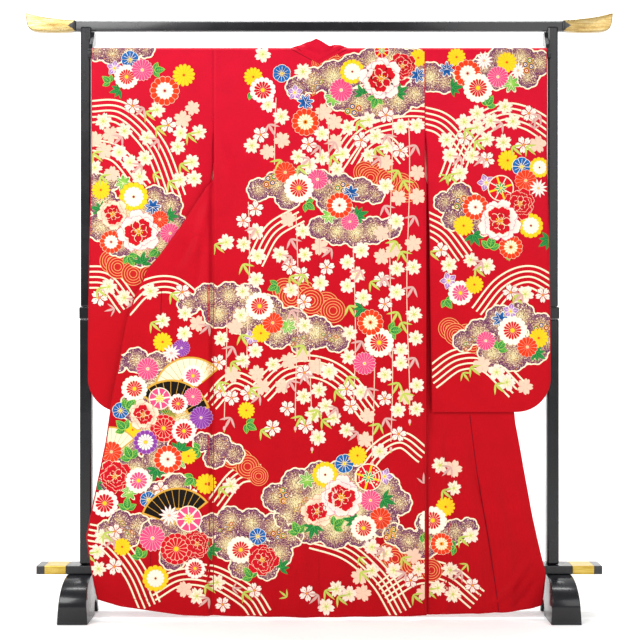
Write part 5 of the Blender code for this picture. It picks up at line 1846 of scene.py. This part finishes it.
def makeStitches():
    points, edges = [], []
    for panel, edge in seamRuns:
        line = seamLine(panel, edge)
        edges += [(len(points) + k, len(points) + k + 1) for k in range(len(line) - 1)]
        points += [tuple(point) for point in line]
    lines = bpy.data.meshes.new("seam lines")
    lines.from_pydata(points, edges, [])
    thread = threadMaterial()
    guide = addPiece("seam_lines", lines, [])
    sewing = guide.modifiers.new("stitches", "NODES")
    sewing.node_group = stitchTree()
    settings = {**stitching, "thread": thread}
    for socket in sewing.node_group.interface.items_tree:
        if socket.in_out == "INPUT" and socket.name.lower() in settings:
            sewing[socket.identifier] = settings[socket.name.lower()]
    mesh = bpy.data.meshes.new_from_object(guide.evaluated_get(bpy.context.evaluated_depsgraph_get()))
    bpy.data.objects.remove(guide)
    mesh.shade_smooth()
    if not len(mesh.materials):
        mesh.materials.append(thread)
    stitches = addPiece("seam_stitches", mesh, [])
    ridesAs(stitches, "silk")
    print("stitches sewn", len(mesh.polygons), "faces")


makeStitches()


# the body lengths run over the shoulders without a seam, so each shows as two

print("sheets declared")


# floor, light and camera

studio = {"camera": (0.002, -3.74, 0.860), "lens": 72.8, "floorHalf": 8.0, "wallY": 6.8}


def stand(name, data, place, turn):
    holder = bpy.data.objects.new(name, data)
    holder.location, holder.rotation_euler = place, turn
    bpy.context.scene.collection.objects.link(holder)
    return holder


def makeStudio():
    made, add, shader, coordinates = startMaterial("studio floor with painted glow")
    tone = add("TexNoise", {"Vector": coordinates["Object"], "Scale": 2.0})
    pale = add("ValToRGB", {"Fac": tone}, stops=[(0.3, "#F6F5F4"), (0.7, "#FBFAF9")])
    # the floor glows a little though it is no lamp: painted light that turns the red bounce and the shadows
    # under the hem white
    fillSockets(made.node_tree, shader, {"Base Color": pale, "Roughness": 0.9, "Specular IOR Level": 0.1,
        "Emission Color": "#F4F8FA", "Emission Strength": 0.22})
    wide, back = studio["floorHalf"], studio["wallY"]
    sweep = [(-wide, 0.0), (back - 0.9, 0.0)]
    sweep += [(back - 0.9 + 0.9 * math.sin(t), 0.9 - 0.9 * math.cos(t))
        for t in np.linspace(0.1, math.pi / 2, 16)]
    sweep.append((back, 6.0))
    points = [(x, y, z) for y, z in sweep for x in (-wide, wide)]
    faces = [(2 * i, 2 * i + 1, 2 * i + 3, 2 * i + 2) for i in range(len(sweep) - 1)]
    mesh = bpy.data.meshes.new("studio sweep")
    mesh.from_pydata(points, [], faces)
    mesh.shade_smooth()
    floor = addPiece("studio_sweep", mesh, [made])
    world = bpy.data.worlds.new("soft light")
    world.use_nodes = True
    bpy.context.scene.world = world
    fillSockets(world.node_tree, world.node_tree.nodes["Background"],
        {"Color": "#FFFFFF", "Strength": 0.42})
    for name, place, aim, size, power in (
        ("key light", (-2.3, -3.0, 2.9), (0.0, 0.0, 0.95), 2.0, 119),
        ("fill light", (2.4, -3.5, 2.0), (0.0, 0.0, 0.8), 2.6, 57),
        ("backdrop light", (0.0, 4.6, 5.4), (0.0, 6.6, 1.0), 3.6, 280),
        ("overhead strip", (0.0, 0.37, 3.3), (0.0, 0.0, 1.74), 3.2, 60),
    ):
        lamp = bpy.data.lights.new(name, "AREA")
        lamp.size, lamp.energy = size, power
        lamp.shape = "RECTANGLE" if "strip" in name else "SQUARE"
        lamp.size_y = 0.3
        stand(name, lamp, place, (Vector(aim) - Vector(place)).to_track_quat("-Z", "Y").to_euler())
    lens = bpy.data.cameras.new("camera")
    lens.lens, lens.sensor_width = studio["lens"], 36.0
    bpy.context.scene.camera = stand("camera", lens, studio["camera"], (math.pi / 2, 0.0, 0.0))


makeStudio()
print("studio made")
